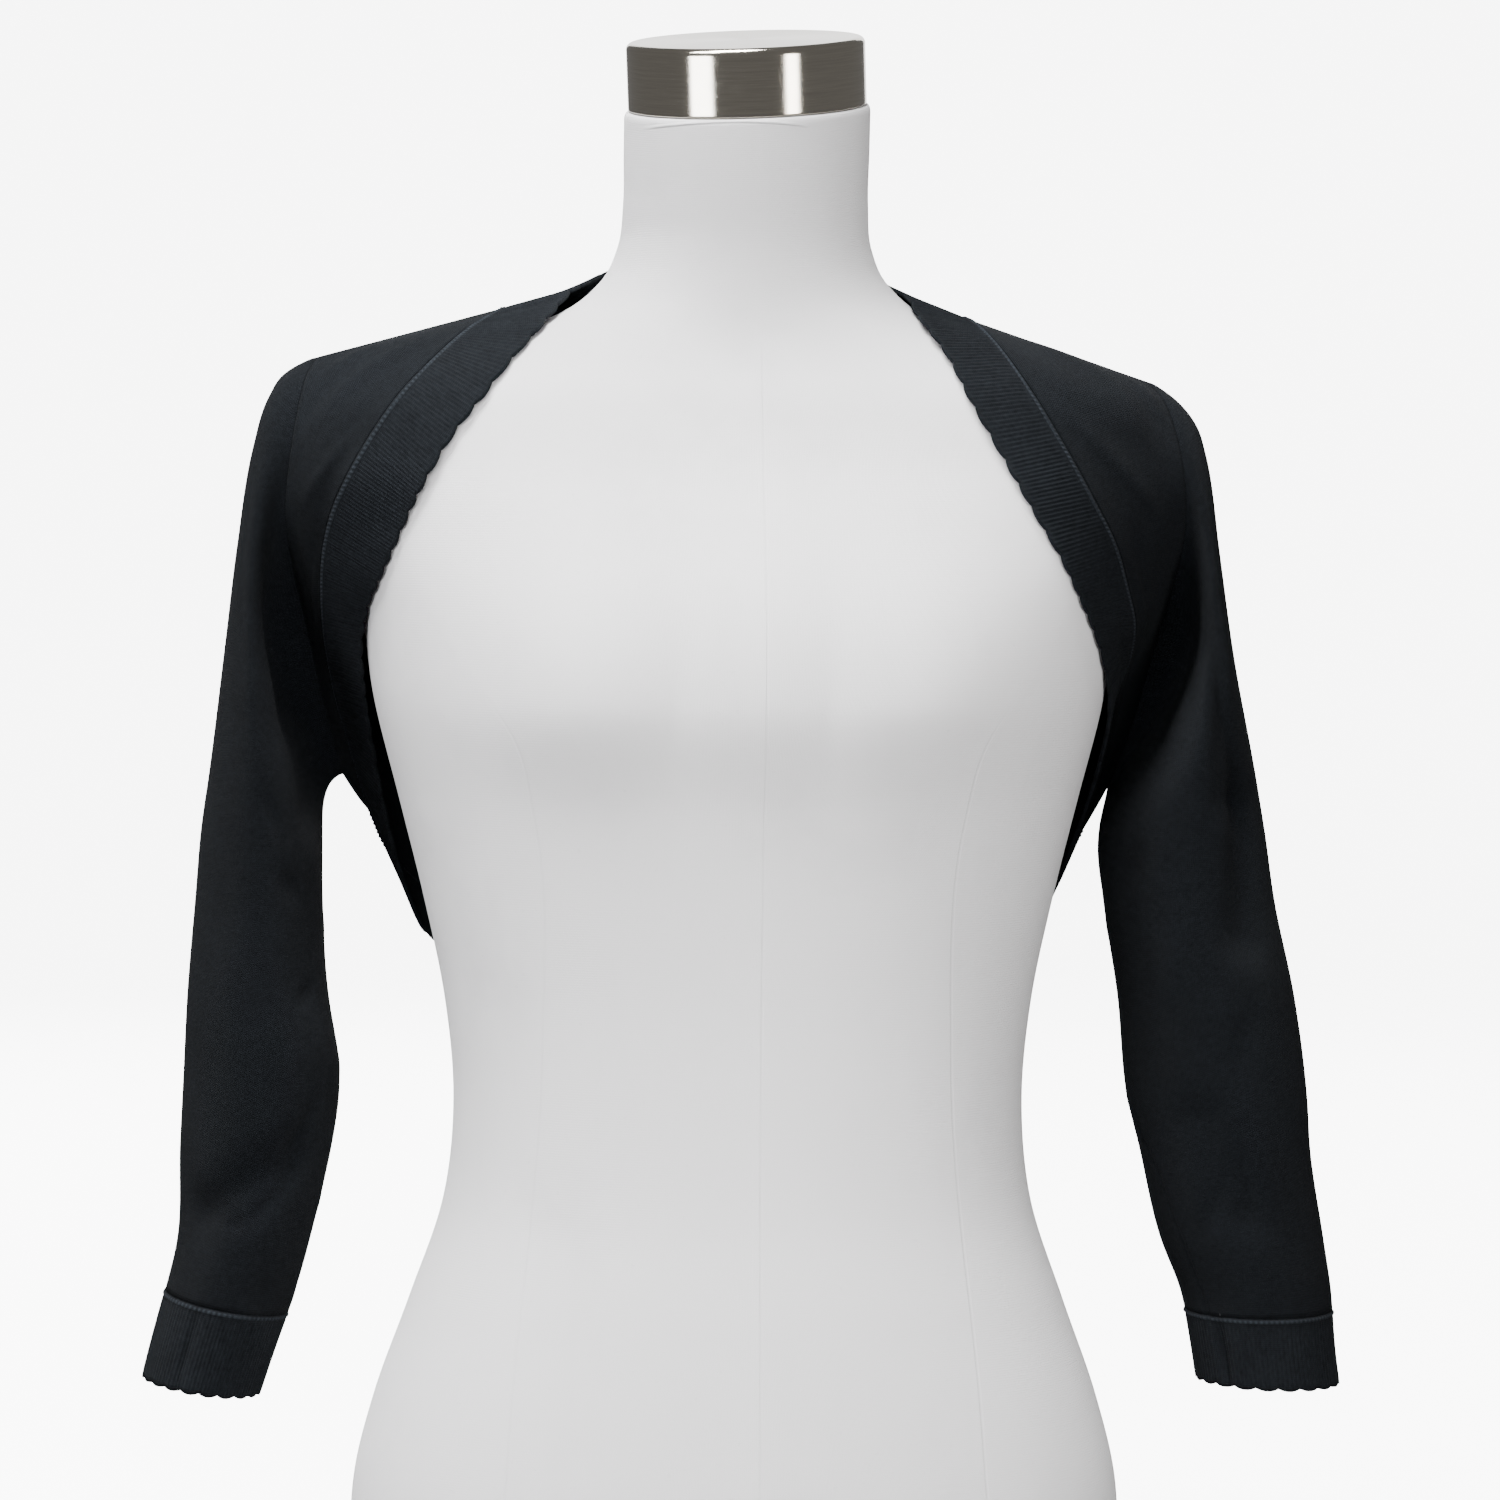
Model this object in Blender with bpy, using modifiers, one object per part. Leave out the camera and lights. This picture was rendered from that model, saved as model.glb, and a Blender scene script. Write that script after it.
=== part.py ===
"""A knitted shrug with ribbed, scalloped edges, on a limbless dress form.

Lengths in the tables are millimetres, and MM turns them into Blender's metres.
+X is the wearer's left, -Y is the front, +Z is up, and z = 0 is the form's flat base.
In the tables of the shrug, "out" is the distance from the centre plane x = 0 to the side,
"back" is y and "up" is z. Both sides have tables of their own, because the shrug hangs unevenly.
"""

import bpy
import numpy as np

MM = 0.001
COLLECTION = "knitted_shrug_on_dress_form"

# The cloth
WALL = 1.6                  # thickness of the knit
SEAM_GAP = 0.3              # between two pieces at a seam
SEAM_OFF_FORM = 2.4         # least distance from the form to the middle of the knit at a seam
CLOTH_OFF_FORM = 3.4        # and between seams, where the cells are larger
BAND_SCALLOPS = dict(neck=12, front=28, hem=22)     # on one half of the band
CUFF_SCALLOPS = 20
SCALLOP_DEPTH = 2.0
EDGE_POINTS = 3             # points of the scalloped edge for each scallop
SHOULDER_CELLS = 5          # cells along the shoulder seam, and along the short side seam
BACK_ARMHOLE_CELLS = 12
SHARPEST_MITRE = 0.62       # least cosine that a mitred seam's wall is widened by
SHARPEST_CORNER = 0.12      # and least divisor that a corner's gap is widened by
FRONT_BOW = 0.09            # how far a front stands out between the band and the armhole, of its width
FRONT_ROUNDS = 2            # times that a front's points are pulled taut
BACK_ROUNDS = 80            # and the back's
BACK_FADE = 2.5             # how soon the armholes' shape fades towards the middle of the back
SLEEVE_RINGS = 21

# The dress form
FORM_ZONES = ((0, 480, 15), (480, 655, 20), (655, 698, 2))     # from, to, rings
FORM_COLUMNS = 44
NECK_LEAN = 9.8             # degrees that the top of the neck is tipped forward
NECK_TIP = 2.8              # and to the wearer's right
LEAN_FROM = 645.0           # the height where both start
CAP_RADIUS = 53.0
CAP_HEIGHT = 30.0
CAP_ROUNDING = 3.0
CAP_BEVEL = 0.6
CAP_SEGMENTS = 48

# up, half width, front depth, back depth (both from x = y = 0), middle y, squareness
FORM_SECTIONS = (
    (0, 171, 96, 104, 6, 2.35),
    (40, 174, 99, 110, 6, 2.35),
    (85, 172.5, 100, 112, 6, 2.3),
    (119, 164, 98, 107, 6, 2.3),
    (164, 148, 94, 93, 4, 2.25),
    (209, 133, 89, 81, 2, 2.2),
    (254, 128.5, 87, 76, 2, 2.2),
    (299, 132.5, 87, 79, 5, 2.2),
    (344, 142, 90, 85, 10, 2.25),
    (389, 153.5, 95, 90, 16, 2.3),
    (434, 165, 101, 93, 20, 2.35),
    (480, 172, 97, 94, 22, 2.4),
    (515, 181, 84, 92, 20, 2.4),
    (540, 187, 73, 88, 17, 2.4),
    (556, 188, 68, 84, 15, 2.35),
    (567, 185, 65, 80, 14, 2.3),
    (575, 176, 62.5, 77, 13, 2.25),
    (582.5, 158, 60, 72, 11, 2.15),
    (590, 132, 58, 67, 8, 2.1),
    (598.5, 104, 56.5, 62, 5, 2.05),
    (608.5, 80, 56, 57, 3, 2.0),
    (620.5, 65, 56.5, 52, 0, 2.0),
    (636, 57, 58.5, 47, -4, 2.0),
    (655, 54.7, 63, 42, -10, 2.0),
    (678, 54.7, 68.5, 37.5, -15, 2.0),
    (698, 54.7, 72.5, 34, -19, 2.0),
)
BUST = dict(up=437, reach=13, out=78, width=48, rise=62, drop=36)
BUST_BRIDGE = dict(share=0.55, width=60)

# Round the armhole: turn in degrees (0 shoulder tip, 90 front, 180 underarm, 270 back), out, back, up
ARMHOLE = {
    "right": (
        (0, 191, 12, 586), (25, 196, -6, 574), (50, 201, -14, 548), (75, 204, -8, 518),
        (100, 201, 8, 493), (125, 195.5, 24, 469), (150, 189, 42, 435), (180, 179.5, 59, 398),
        (210, 181, 73, 425), (240, 184.5, 80, 468), (270, 189, 79, 508), (300, 193, 67, 545),
        (330, 194, 44, 573), (360, 191, 12, 586),
    ),
    "left": (
        (0, 185, 12, 578), (25, 191, -6, 566), (50, 197, -14, 541), (75, 199, -8, 512),
        (100, 196, 9, 486), (125, 191.5, 26, 462), (150, 184.5, 43, 427), (180, 175, 57, 395),
        (210, 176, 71, 418), (240, 180, 78, 460), (270, 185, 78, 500), (300, 188, 68, 537),
        (330, 189, 45, 565), (360, 185, 12, 578),
    ),
}

# Along half the band: the seam to the body (out, back, up), then the scalloped edge (out, back, up)
BAND = {
    "right": dict(
        neck=(
            (0, 66, 604, 0, 53, 632), (40, 60, 606, 32, 47, 631), (80, 42, 609, 58, 29, 627),
            (109, 12, 608.5, 78, 3, 617),
        ),
        front=(
            (109, 12, 608.5, 78, 3, 617), (125, -14, 598, 95, -33, 597), (140, -33, 584, 116, -53, 571),
            (153, -42, 570, 130, -55, 553), (165, -42, 553, 142, -56, 533), (176, -37, 534, 150, -52, 517),
            (182.5, -28, 520, 156, -46, 503), (187, -15, 503, 162.5, -37, 489),
            (188.5, 3, 479, 168.5, -16, 473), (187.5, 18, 461, 171, 0, 457), (185, 31, 445, 170, 12, 440),
            (182, 42, 430, 168.5, 23, 426), (178, 50, 417, 166, 33, 410), (173.5, 56, 401, 162, 43, 388),
            (167, 62.5, 380, 155, 54, 358),
        ),
        hem=(
            (167, 62.5, 380, 155, 54, 358), (161.5, 68.5, 367, 149.5, 63, 341), (153, 75, 354, 142.5, 72, 325),
            (139, 81.5, 342.5, 127, 82, 313), (108, 88, 333.5, 99, 88, 303.5), (55, 93, 328, 52, 92, 298),
            (0, 95, 327, 0, 93, 297),
        ),
    ),
    "left": dict(
        neck=(
            (0, 66, 604, 0, 53, 632), (38, 60, 606, 31, 47, 631), (74, 42, 608, 57, 29, 626),
            (102, 12, 606, 72, 2, 616.5),
        ),
        front=(
            (102, 12, 606, 72, 2, 616.5), (105, -14, 602, 77, -33, 605), (114, -38, 589, 88, -50, 588),
            (126, -51, 570, 98, -60, 567), (138, -54, 550, 111, -64, 544), (153, -51, 524, 126, -66, 518),
            (163, -44, 506, 138, -62, 498), (170, -33, 487, 147, -55, 481), (175.5, -19, 470, 155, -44, 466),
            (176, -5, 458, 160.5, -30, 452), (174.5, 7, 448, 165, -15, 438), (172, 19, 437, 166.5, -1, 424),
            (170.5, 31, 422, 165, 13, 407), (168.5, 45, 401, 161, 30, 385), (162.5, 61, 372, 151, 51, 349),
        ),
        hem=(
            (162.5, 61, 372, 151, 51, 349), (157, 68, 361, 145.5, 62, 335), (149, 75, 350, 136, 73, 323),
            (134, 81.5, 341, 121, 82, 312), (107, 88, 333.5, 98, 88, 303.5), (55, 93, 328, 52, 92, 298),
            (0, 95, 327, 0, 93, 297),
        ),
    ),
}

# Down the sleeve: up, out of its outer line, out of its inner line, middle y, half depth
SLEEVE = {
    "right": (
        (100, 274, 220, 12, 30), (130, 267, 213, 13, 31), (142, 264, 208.5, 13, 32),
        (164, 258, 201, 14, 34), (187, 252.5, 194.5, 15, 36), (232, 251, 185.5, 16, 39),
        (265, 249.5, 185, 17, 41), (299, 248, 187, 19, 43), (344, 244.5, 189, 22, 46),
        (375, 242, 190, 24, 49), (400, 238.5, 193, 25, 52), (457, 231.5, 197, 25, 55),
        (502, 226, 197, 24, 55), (547, 218.5, 194, 20, 48), (569, 212, 190, 16, 38),
        (580, 206, 187, 14, 27), (590, 192, 182, 12, 14),
    ),
    "left": (
        (100, 281, 216, 12, 30), (130, 276, 212, 13, 31), (142, 274.5, 210, 13, 32),
        (164, 273, 205.5, 14, 34), (187, 269.5, 196.5, 15, 36), (232, 262.5, 185.5, 16, 39),
        (250, 261.5, 181, 17, 40), (299, 255, 176, 19, 43), (344, 245.5, 169.5, 22, 46),
        (375, 241, 168, 24, 49), (400, 236.5, 174, 25, 52), (457, 224.5, 188, 25, 55),
        (502, 217, 188, 24, 55), (547, 209.5, 186, 20, 47), (558, 206.5, 184, 17, 40),
        (569, 200, 182, 14, 28), (582, 186, 176, 12, 13),
    ),
}

# The sleeve's seam to the cuff and the cuff's end: up at the middle, and the drop from outer to inner line
SLEEVE_CUFFS = {
    "right": dict(seam=(161, 10), end=(124, 8)),
    "left": dict(seam=(156, 0), end=(124, -2)),
}

# How far the sleeve swings outwards just below the armhole, clear of the body: turn, spread, reach
UNDERARM_SWING = ((122, 38, 13), (215, 34, 2))
OUT_BY = 0.33               # the share of the sleeve's length by which a ring has the oval's x
BACK_BY = 0.42              # and its y
RING_EASE = 1.5             # power that sets the rings closer together near the armhole
SLOW, QUICK, TIP_SPREAD = 2, 7, 40      # how soon x is reached: everywhere, and more at the tip
SLEEVE_GIRTH = 38.0         # radius that turns degrees into lengths for the folds

# Large folds of the sleeves: turn and up of both ends, half width along the cloth, depth (inwards is plus)
SLEEVE_FOLDS = {
    "right": (
        (60, 545, 118, 500, 13, 6), (118, 500, 132, 430, 15, 10), (132, 430, 150, 385, 13, 7),
        (150, 275, 205, 255, 26, -4), (55, 205, 125, 232, 11, 4), (250, 520, 215, 430, 16, 7),
        (300, 330, 235, 290, 14, 4),
    ),
    "left": (
        (70, 540, 112, 495, 12, 6), (120, 480, 138, 420, 15, 9), (78, 470, 62, 395, 11, 6),
        (52, 385, 66, 330, 12, 5), (112, 245, 95, 205, 12, 3), (245, 510, 212, 425, 16, 7),
        (290, 320, 240, 275, 14, 4),
    ),
}

FINISHES = {
    "knit": dict(colour=(0.011, 0.012, 0.015), roughness=0.92, metallic=0.0),
    "rib": dict(colour=(0.013, 0.014, 0.017), roughness=0.95, metallic=0.0),
    "cover": dict(colour=(0.80, 0.79, 0.80), roughness=0.85, metallic=0.0),
    "metal": dict(colour=(0.56, 0.53, 0.50), roughness=0.28, metallic=1.0),
}


def smooth_rows(rows, at):
    """Values between a table's rows: cubic curves whose slope at a row is its neighbours' mean slope."""
    rows = np.asarray(rows, float)
    keys, values = rows[:, 0], rows[:, 1:]
    step = np.diff(keys)[:, None]
    rise = np.diff(values, axis=0) / step
    inner = (step[1:] * rise[:-1] + step[:-1] * rise[1:]) / (step[1:] + step[:-1])
    slope = np.concatenate([rise[:1], inner, rise[-1:]])
    at = np.clip(np.asarray(at, float), keys[0], keys[-1])
    row = np.clip(np.searchsorted(keys, at, side="right") - 1, 0, len(keys) - 2)
    span = step[row, 0][..., None]
    t = (at - keys[row])[..., None] / span
    return ((1 + 2 * t) * (1 - t) ** 2 * values[row] + t * (1 - t) ** 2 * span * slope[row]
            + t * t * (3 - 2 * t) * values[row + 1] + t * t * (t - 1) * span * slope[row + 1])


def along(points, cells):
    """Points at equal steps of length along a smooth curve through the given points."""
    points = np.asarray(points, float)
    lengths = np.linalg.norm(np.diff(points[:, :3], axis=0), axis=1)
    reach = np.concatenate([[0], np.cumsum(lengths)])
    table = np.column_stack([reach, points])
    fine = smooth_rows(table, np.linspace(0, reach[-1], 40 * len(points)))
    run = np.concatenate([[0], np.cumsum(np.linalg.norm(np.diff(fine[:, :3], axis=0), axis=1))])
    stops = np.linspace(0, run[-1], cells + 1)
    return np.column_stack([np.interp(stops, run, column) for column in fine.T])


def unit(vectors):
    """The vectors at length 1."""
    return vectors / np.maximum(np.linalg.norm(vectors, axis=-1, keepdims=True), 1e-9)


def bust(x, z):
    """How far the front of the form stands forward: a soft mound on each side and a bridge between."""
    height = np.where(z > BUST["up"], BUST["rise"], BUST["drop"])
    mound = np.exp(-((np.abs(x) - BUST["out"]) / BUST["width"]) ** 2)
    bridge = BUST_BRIDGE["share"] * np.exp(-(x / BUST_BRIDGE["width"]) ** 2)
    return BUST["reach"] * np.maximum(mound, bridge) * np.exp(-((z - BUST["up"]) / height) ** 2)


def form_level(points):
    """Below 0 inside the form, 0 on it and above 0 outside: the superellipse of the section at z."""
    x, y, z = np.moveaxis(points, -1, 0)
    half, front, back, middle, square = np.moveaxis(smooth_rows(FORM_SECTIONS, z), -1, 0)
    depth = np.where(y < middle, front + middle + bust(x, z), back - middle)
    share = (np.abs(x) / half) ** square + (np.abs(y - middle) / depth) ** square
    return share ** (1 / square) - 1


def off_form(points):
    """Each point's distance from the form and the direction away from it, from the level's slope."""
    probe = np.eye(3) * 0.5
    slope = np.stack([form_level(points + d) - form_level(points - d) for d in probe], -1)
    steepness = np.linalg.norm(slope, axis=-1)
    return form_level(points) / steepness, slope / steepness[..., None]


def clear_of_form(points, least=SEAM_OFF_FORM):
    """Points nearer to the form than the least distance are moved straight out to it."""
    for _ in range(4):
        distance, outward = off_form(points)
        points = points + np.maximum(least - distance, 0)[..., None] * outward
    return points


def form_ring(z, columns):
    """One horizontal section of the form, anticlockwise from +X."""
    half, front, back, middle, square = smooth_rows(FORM_SECTIONS, np.array([z]))[0]
    turn = np.linspace(0, 2 * np.pi, columns, endpoint=False)
    across, deep = (np.sign(f) * np.abs(f) ** (2 / square) for f in (np.cos(turn), np.sin(turn)))
    x = half * across
    y = middle + np.where(deep < 0, front + middle + bust(x, z), back - middle) * deep
    return np.column_stack([x, y, np.full(columns, z)])


def sided(points, side):
    """Table columns (out, back, up) as x, y, z: the wearer's right is at -X."""
    points = np.array(points, float)
    points[..., 0] *= 1 if side == "left" else -1
    return points


def band_rows(side):
    """The band's seam and scalloped edge, a point for each scallop's start, and where its parts begin."""
    stretches = [along(BAND[side][part], count) for part, count in BAND_SCALLOPS.items()]
    whole = np.concatenate([stretches[0]] + [s[1:] for s in stretches[1:]])
    seam, edge = (clear_of_form(sided(columns, side)) for columns in (whole[:, :3], whole[:, 3:]))
    return seam, edge


def band_part(part):
    """First and last scallop of one stretch of the band."""
    names = list(BAND_SCALLOPS)
    start = sum(BAND_SCALLOPS[n] for n in names[:names.index(part)])
    return start, start + BAND_SCALLOPS[part]


def scalloped(edge, inner, per=EDGE_POINTS):
    """The edge with every scallop rounded out, away from the inner row, as a half sine of its depth."""
    count = len(edge) - 1
    at = np.arange(count * per + 1) / per
    line = np.column_stack([np.interp(at, np.arange(count + 1), c) for c in edge.T])
    root = np.column_stack([np.interp(at, np.arange(count + 1), c) for c in inner.T])
    swell = np.abs(np.sin(np.pi * at)) * SCALLOP_DEPTH
    return line + unit(line - root) * swell[:, None]


def armhole(side, cells_front, cells_back):
    """The armhole from the shoulder tip down the front, under the arm and up the back: turns, points."""
    turns = np.concatenate([np.linspace(0, 180, cells_front + 1),
                            np.linspace(180, 360, cells_back + 1)[1:]])
    return turns, clear_of_form(sided(smooth_rows(ARMHOLE[side], turns), side))


def fold_depth(side, turn, up):
    """Troughs and ridges of the sleeve: each a soft bell across a line from one turn and height to another."""
    depth = np.zeros(np.broadcast(turn, up).shape)
    for turn_a, up_a, turn_b, up_b, wide, deep in SLEEVE_FOLDS[side]:
        ax, bx, px = (np.radians(t) * SLEEVE_GIRTH for t in (turn_a, turn_b, turn))
        run, rise = bx - ax, up_b - up_a
        t = ((px - ax) * run + (up - up_a) * rise) / (run ** 2 + rise ** 2)
        inside = np.clip(t, 0, 1)
        away = np.hypot(px - ax - inside * run, up - up_a - inside * rise)
        depth = depth + deep * np.exp(-(away / wide) ** 2)
    return depth


def sleeve_section(side, turn, up):
    """The point of the sleeve's horizontal oval at a turn and a height."""
    outer, inner, middle, deep = np.moveaxis(smooth_rows(SLEEVE[side], up), -1, 0)
    angle = np.radians(turn)
    centre = np.stack([(outer + inner) / 2, middle], -1)
    spoke = np.stack([(outer - inner) / 2 * np.cos(angle), -deep * np.sin(angle)], -1)
    flat = centre + spoke - unit(spoke) * fold_depth(side, turn, up)[..., None]
    return sided(np.concatenate([flat, np.broadcast_to(up, angle.shape)[..., None]], -1), side)


def tilted(side, turn, level):
    """Height of a tilted ring at a turn: level is its middle and the drop from outer to inner line."""
    middle, drop = level
    return middle + drop / 2 * np.cos(np.radians(turn))


def sleeve_grid(side, turns, hole):
    """Rings from the armhole to the cuff.

    A ring leaves the armhole's line outwards first, then back and down, and ends on the level ovals.
    At the shoulder tip it reaches the oval's outline at once.
    """
    last = tilted(side, turns, SLEEVE_CUFFS[side]["seam"])
    outwards = 1 if side == "left" else -1
    from_tip = np.minimum(turns, 360 - turns)
    haste = SLOW + QUICK * np.exp(-(from_tip / TIP_SPREAD) ** 2)
    swing = sum(reach * np.exp(-((turns - centre) / spread) ** 2) for centre, spread, reach in UNDERARM_SWING)
    rings = []
    for step in np.linspace(0, 1, SLEEVE_RINGS + 1):
        up = hole[:, 2] + (last - hole[:, 2]) * step ** RING_EASE
        out_share = 1 - (1 - min(step / OUT_BY, 1)) ** haste
        back_share = np.sin(np.pi / 2 * min(step / BACK_BY, 1)) ** 2
        oval = sleeve_section(side, turns, up)
        swung = outwards * swing * 4 * out_share * (1 - out_share)
        x = hole[:, 0] + (oval[:, 0] - hole[:, 0]) * out_share + swung
        y = hole[:, 1] + (oval[:, 1] - hole[:, 1]) * back_share
        rings.append(np.column_stack([x, y, up]))
    return np.array(rings)


def cuff_rows(side):
    """The cuff's seam, a ring half way down and its scalloped end."""
    turns = np.linspace(0, 360, CUFF_SCALLOPS + 1)
    cuff = SLEEVE_CUFFS[side]
    rows = []
    for share in (0, 0.5, 1):
        level = [a + (b - a) * share for a, b in zip(cuff["seam"], cuff["end"])]
        rows.append(sleeve_section(side, turns, tilted(side, turns, level)))
    return rows[0], rows[1], scalloped(rows[2], rows[1])


def patch(bottom, top, left, right, fade=1):
    """A grid between four edges: straight from bottom to top, and bent to the sides as far as fade lets it."""
    u = np.linspace(0, 1, len(bottom))[None, :, None]
    v = np.linspace(0, 1, len(left))[:, None, None]
    rows = (1 - v) * bottom[None] + v * top[None]
    return (rows + (1 - u) ** fade * (left[:, None] - rows[:, :1])
            + u ** fade * (right[:, None] - rows[:, -1:]))


def taut(grid, rounds):
    """The grid with its inner points pulled to their neighbours' mean, as stretched knit, clear of the form."""
    for _ in range(rounds):
        mean = (grid[:-2, 1:-1] + grid[2:, 1:-1] + grid[1:-1, :-2] + grid[1:-1, 2:]) / 4
        grid[1:-1, 1:-1] = clear_of_form(mean, CLOTH_OFF_FORM)
    return grid


def grid_normals(grid, closed=False):
    """Unit normals of a grid from the slopes along and across it."""
    down = np.gradient(grid, axis=0)
    if closed:
        ring = np.concatenate([grid[:, -2:-1], grid, grid[:, 1:2]], axis=1)
        side = (ring[:, 2:] - ring[:, :-2]) / 2
    else:
        side = np.gradient(grid, axis=1)
    return unit(np.cross(side, down))


class Panel:
    """One piece of cloth: a grid of points in the middle of the knit, and half its thickness at each."""

    def __init__(self, grid, outward, closed=False):
        self.grid = grid
        normals = grid_normals(grid, closed)
        self.normals = normals * np.sign(np.sum(normals * outward))
        self.half = self.normals * WALL / 2
        self.shift = np.zeros_like(grid)

    def meet(self, where, half, shift):
        """Take a seam's shared edge: its half thickness, and its share of the gap."""
        self.half[where] = half
        self.shift[where] += shift

    def row(self, index, at=None):
        """A row of the finished wall: points, half thickness and places along the row."""
        points = self.grid[index] + self.shift[index]
        return points, self.half[index], np.arange(len(points)) if at is None else at


def seam(line, first, second):
    """The shared edge of two pieces, mitred: half thickness on it, and half the gap towards the second.

    Each piece is given as its normals on the line and its next row of points.
    """
    (normal_a, next_a), (normal_b, next_b) = first, second
    middle = unit(normal_a + normal_b)
    closeness = np.clip(np.sum(normal_a * middle, -1), SHARPEST_MITRE, 1)
    half = middle * (WALL / 2 / closeness)[:, None]
    across = unit(np.cross(middle, np.gradient(line, axis=0)))
    towards = np.sign(np.sum(across * (unit(next_b - line) - unit(next_a - line))))
    return half, across * towards * SEAM_GAP / 2


def finer(row, per=2):
    """A row with evenly spaced points added between its own."""
    at = np.arange(len(row))
    fine = np.linspace(0, len(row) - 1, per * (len(row) - 1) + 1)
    return np.column_stack([np.interp(fine, at, column) for column in row.T])


def zipped(first, second, at_first, at_second):
    """Faces between two rows of point numbers that need not have the same number of points."""
    i = j = 0
    faces = []
    while i < len(first) - 1 or j < len(second) - 1:
        next_i = at_first[i + 1] if i < len(first) - 1 else np.inf
        next_j = at_second[j + 1] if j < len(second) - 1 else np.inf
        if abs(next_i - next_j) < 1e-6:
            faces.append((first[i], first[i + 1], second[j + 1], second[j]))
            i += 1
            j += 1
        elif next_i < next_j:
            faces.append((first[i], first[i + 1], second[j]))
            i += 1
        else:
            faces.append((first[i], second[j + 1], second[j]))
            j += 1
    return faces


def turned(face):
    """The face seen from its other side, with the same diagonal."""
    return face[2::-1] + face[3:]


def rim(outer, inner, at, heights):
    """Faces that close an edge, each split from the higher of its two outer corners."""
    faces = zipped(outer, inner, at, at)
    return [f if heights[f[0]] >= heights[f[1]] else f[1:] + f[:1] for f in faces]


def cloth_solid(name, rows, closed=False):
    """A wall of knit from rows of (points, half thickness, places along the row), edges closed."""
    points, outer, inner = [], [], []
    for middle, half, _ in rows:
        for side, numbers in ((1, outer), (-1, inner)):
            whole = middle + side * half
            if closed:
                whole = whole[:-1]
            start = sum(len(p) for p in points)
            line = list(range(start, start + len(whole)))
            points.append(whole)
            numbers.append(line + line[:1] if closed else line)
    places = [at for _, _, at in rows]
    points = np.concatenate(points)
    heights = points[:, 2]
    faces = []
    for k in range(len(rows) - 1):
        faces += zipped(outer[k], outer[k + 1], places[k], places[k + 1])
        faces += [turned(f) for f in zipped(inner[k], inner[k + 1], places[k], places[k + 1])]
    faces += [turned(f) for f in rim(outer[0], inner[0], places[0], heights)]
    faces += rim(outer[-1], inner[-1], places[-1], heights)
    if not closed:
        ends = np.arange(len(rows))
        faces += rim([n[0] for n in outer], [n[0] for n in inner], ends, heights)
        faces += [turned(f) for f in rim([n[-1] for n in outer], [n[-1] for n in inner], ends, heights)]
    return solid(name, points, faces)


def solid(name, points, faces):
    """An object from points in millimetres and faces, faces outwards, shaded smooth."""
    mesh = bpy.data.meshes.new(name)
    mesh.from_pydata((points * MM).tolist(), [], faces)
    signed = sum(np.dot(points[f[0]], np.cross(points[f[k]], points[f[k + 1]]))
                 for f in faces for k in range(1, len(f) - 1))
    if signed < 0:
        mesh.flip_normals()
    mesh.shade_smooth()
    mesh.set_sharp_from_angle(angle=np.radians(40))
    return bpy.data.objects.new(name, mesh)


def body_side(side):
    """The seam lines of one side of the body."""
    band_seam, edge = band_rows(side)
    cells = BAND_SCALLOPS["front"] // 2
    turns, hole = armhole(side, cells, BACK_ARMHOLE_CELLS)
    steps = np.linspace(0, 1, SHOULDER_CELLS + 1)[:, None]
    first, last = band_part("front")
    shoulder = clear_of_form(band_seam[first] * (1 - steps) + hole[0] * steps)
    under = clear_of_form(band_seam[last] * (1 - steps) + hole[cells] * steps)
    return dict(seam=band_seam, edge=edge, turns=turns, hole=hole, shoulder=shoulder, under=under,
                cells=cells)


def front_panel(lines):
    """A front: from the band's seam (first row) out to the armhole (last row)."""
    first, last = band_part("front")
    grid = patch(lines["seam"][first:last + 1:2], lines["hole"][:lines["cells"] + 1],
                 lines["shoulder"], lines["under"])
    bow = np.sin(np.pi * np.linspace(0, 1, SHOULDER_CELLS + 1))[:, None, None]
    width = np.linalg.norm(grid[-1] - grid[0], axis=-1)[None, :, None]
    bowed = grid + FRONT_BOW * width * bow * off_form(grid)[1]
    grid[1:-1, 1:-1] = bowed[1:-1, 1:-1]
    grid = taut(grid, FRONT_ROUNDS)
    return Panel(grid, off_form(grid)[1])


def back_panel(lines):
    """The back: from the hem's seam (first row) up to the shoulders and neck (last row), -X to +X."""
    hem_first, hem_last = band_part("hem")
    neck_first, neck_last = band_part("neck")
    right, left = lines["right"], lines["left"]
    bottom = np.concatenate([right["seam"][hem_first:hem_last + 1:2],
                             left["seam"][hem_first:hem_last:2][::-1]])
    top = np.concatenate([right["shoulder"][::-1], right["seam"][neck_first:neck_last:2][::-1],
                          left["seam"][neck_first:neck_last + 1:2][1:], left["shoulder"][1:]])
    sides = [np.concatenate([s["under"], s["hole"][s["cells"] + 1:]]) for s in (right, left)]
    grid = taut(patch(bottom, top, *sides, fade=BACK_FADE), BACK_ROUNDS)
    return Panel(grid, off_form(grid)[1])


def band_panel(lines):
    """Half the band: seam, a middle row and the scalloped edge's roots."""
    middle = clear_of_form((lines["seam"] + lines["edge"]) / 2)
    grid = np.stack([lines["seam"], middle, lines["edge"]])
    return Panel(grid, off_form(grid)[1])


def sleeve_panel(side, lines):
    """A sleeve: rings from the armhole down to the cuff."""
    grid = sleeve_grid(side, lines["turns"], lines["hole"])
    core = grid[:, :-1].mean(axis=1, keepdims=True)
    return Panel(grid, grid - core, closed=True)


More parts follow.
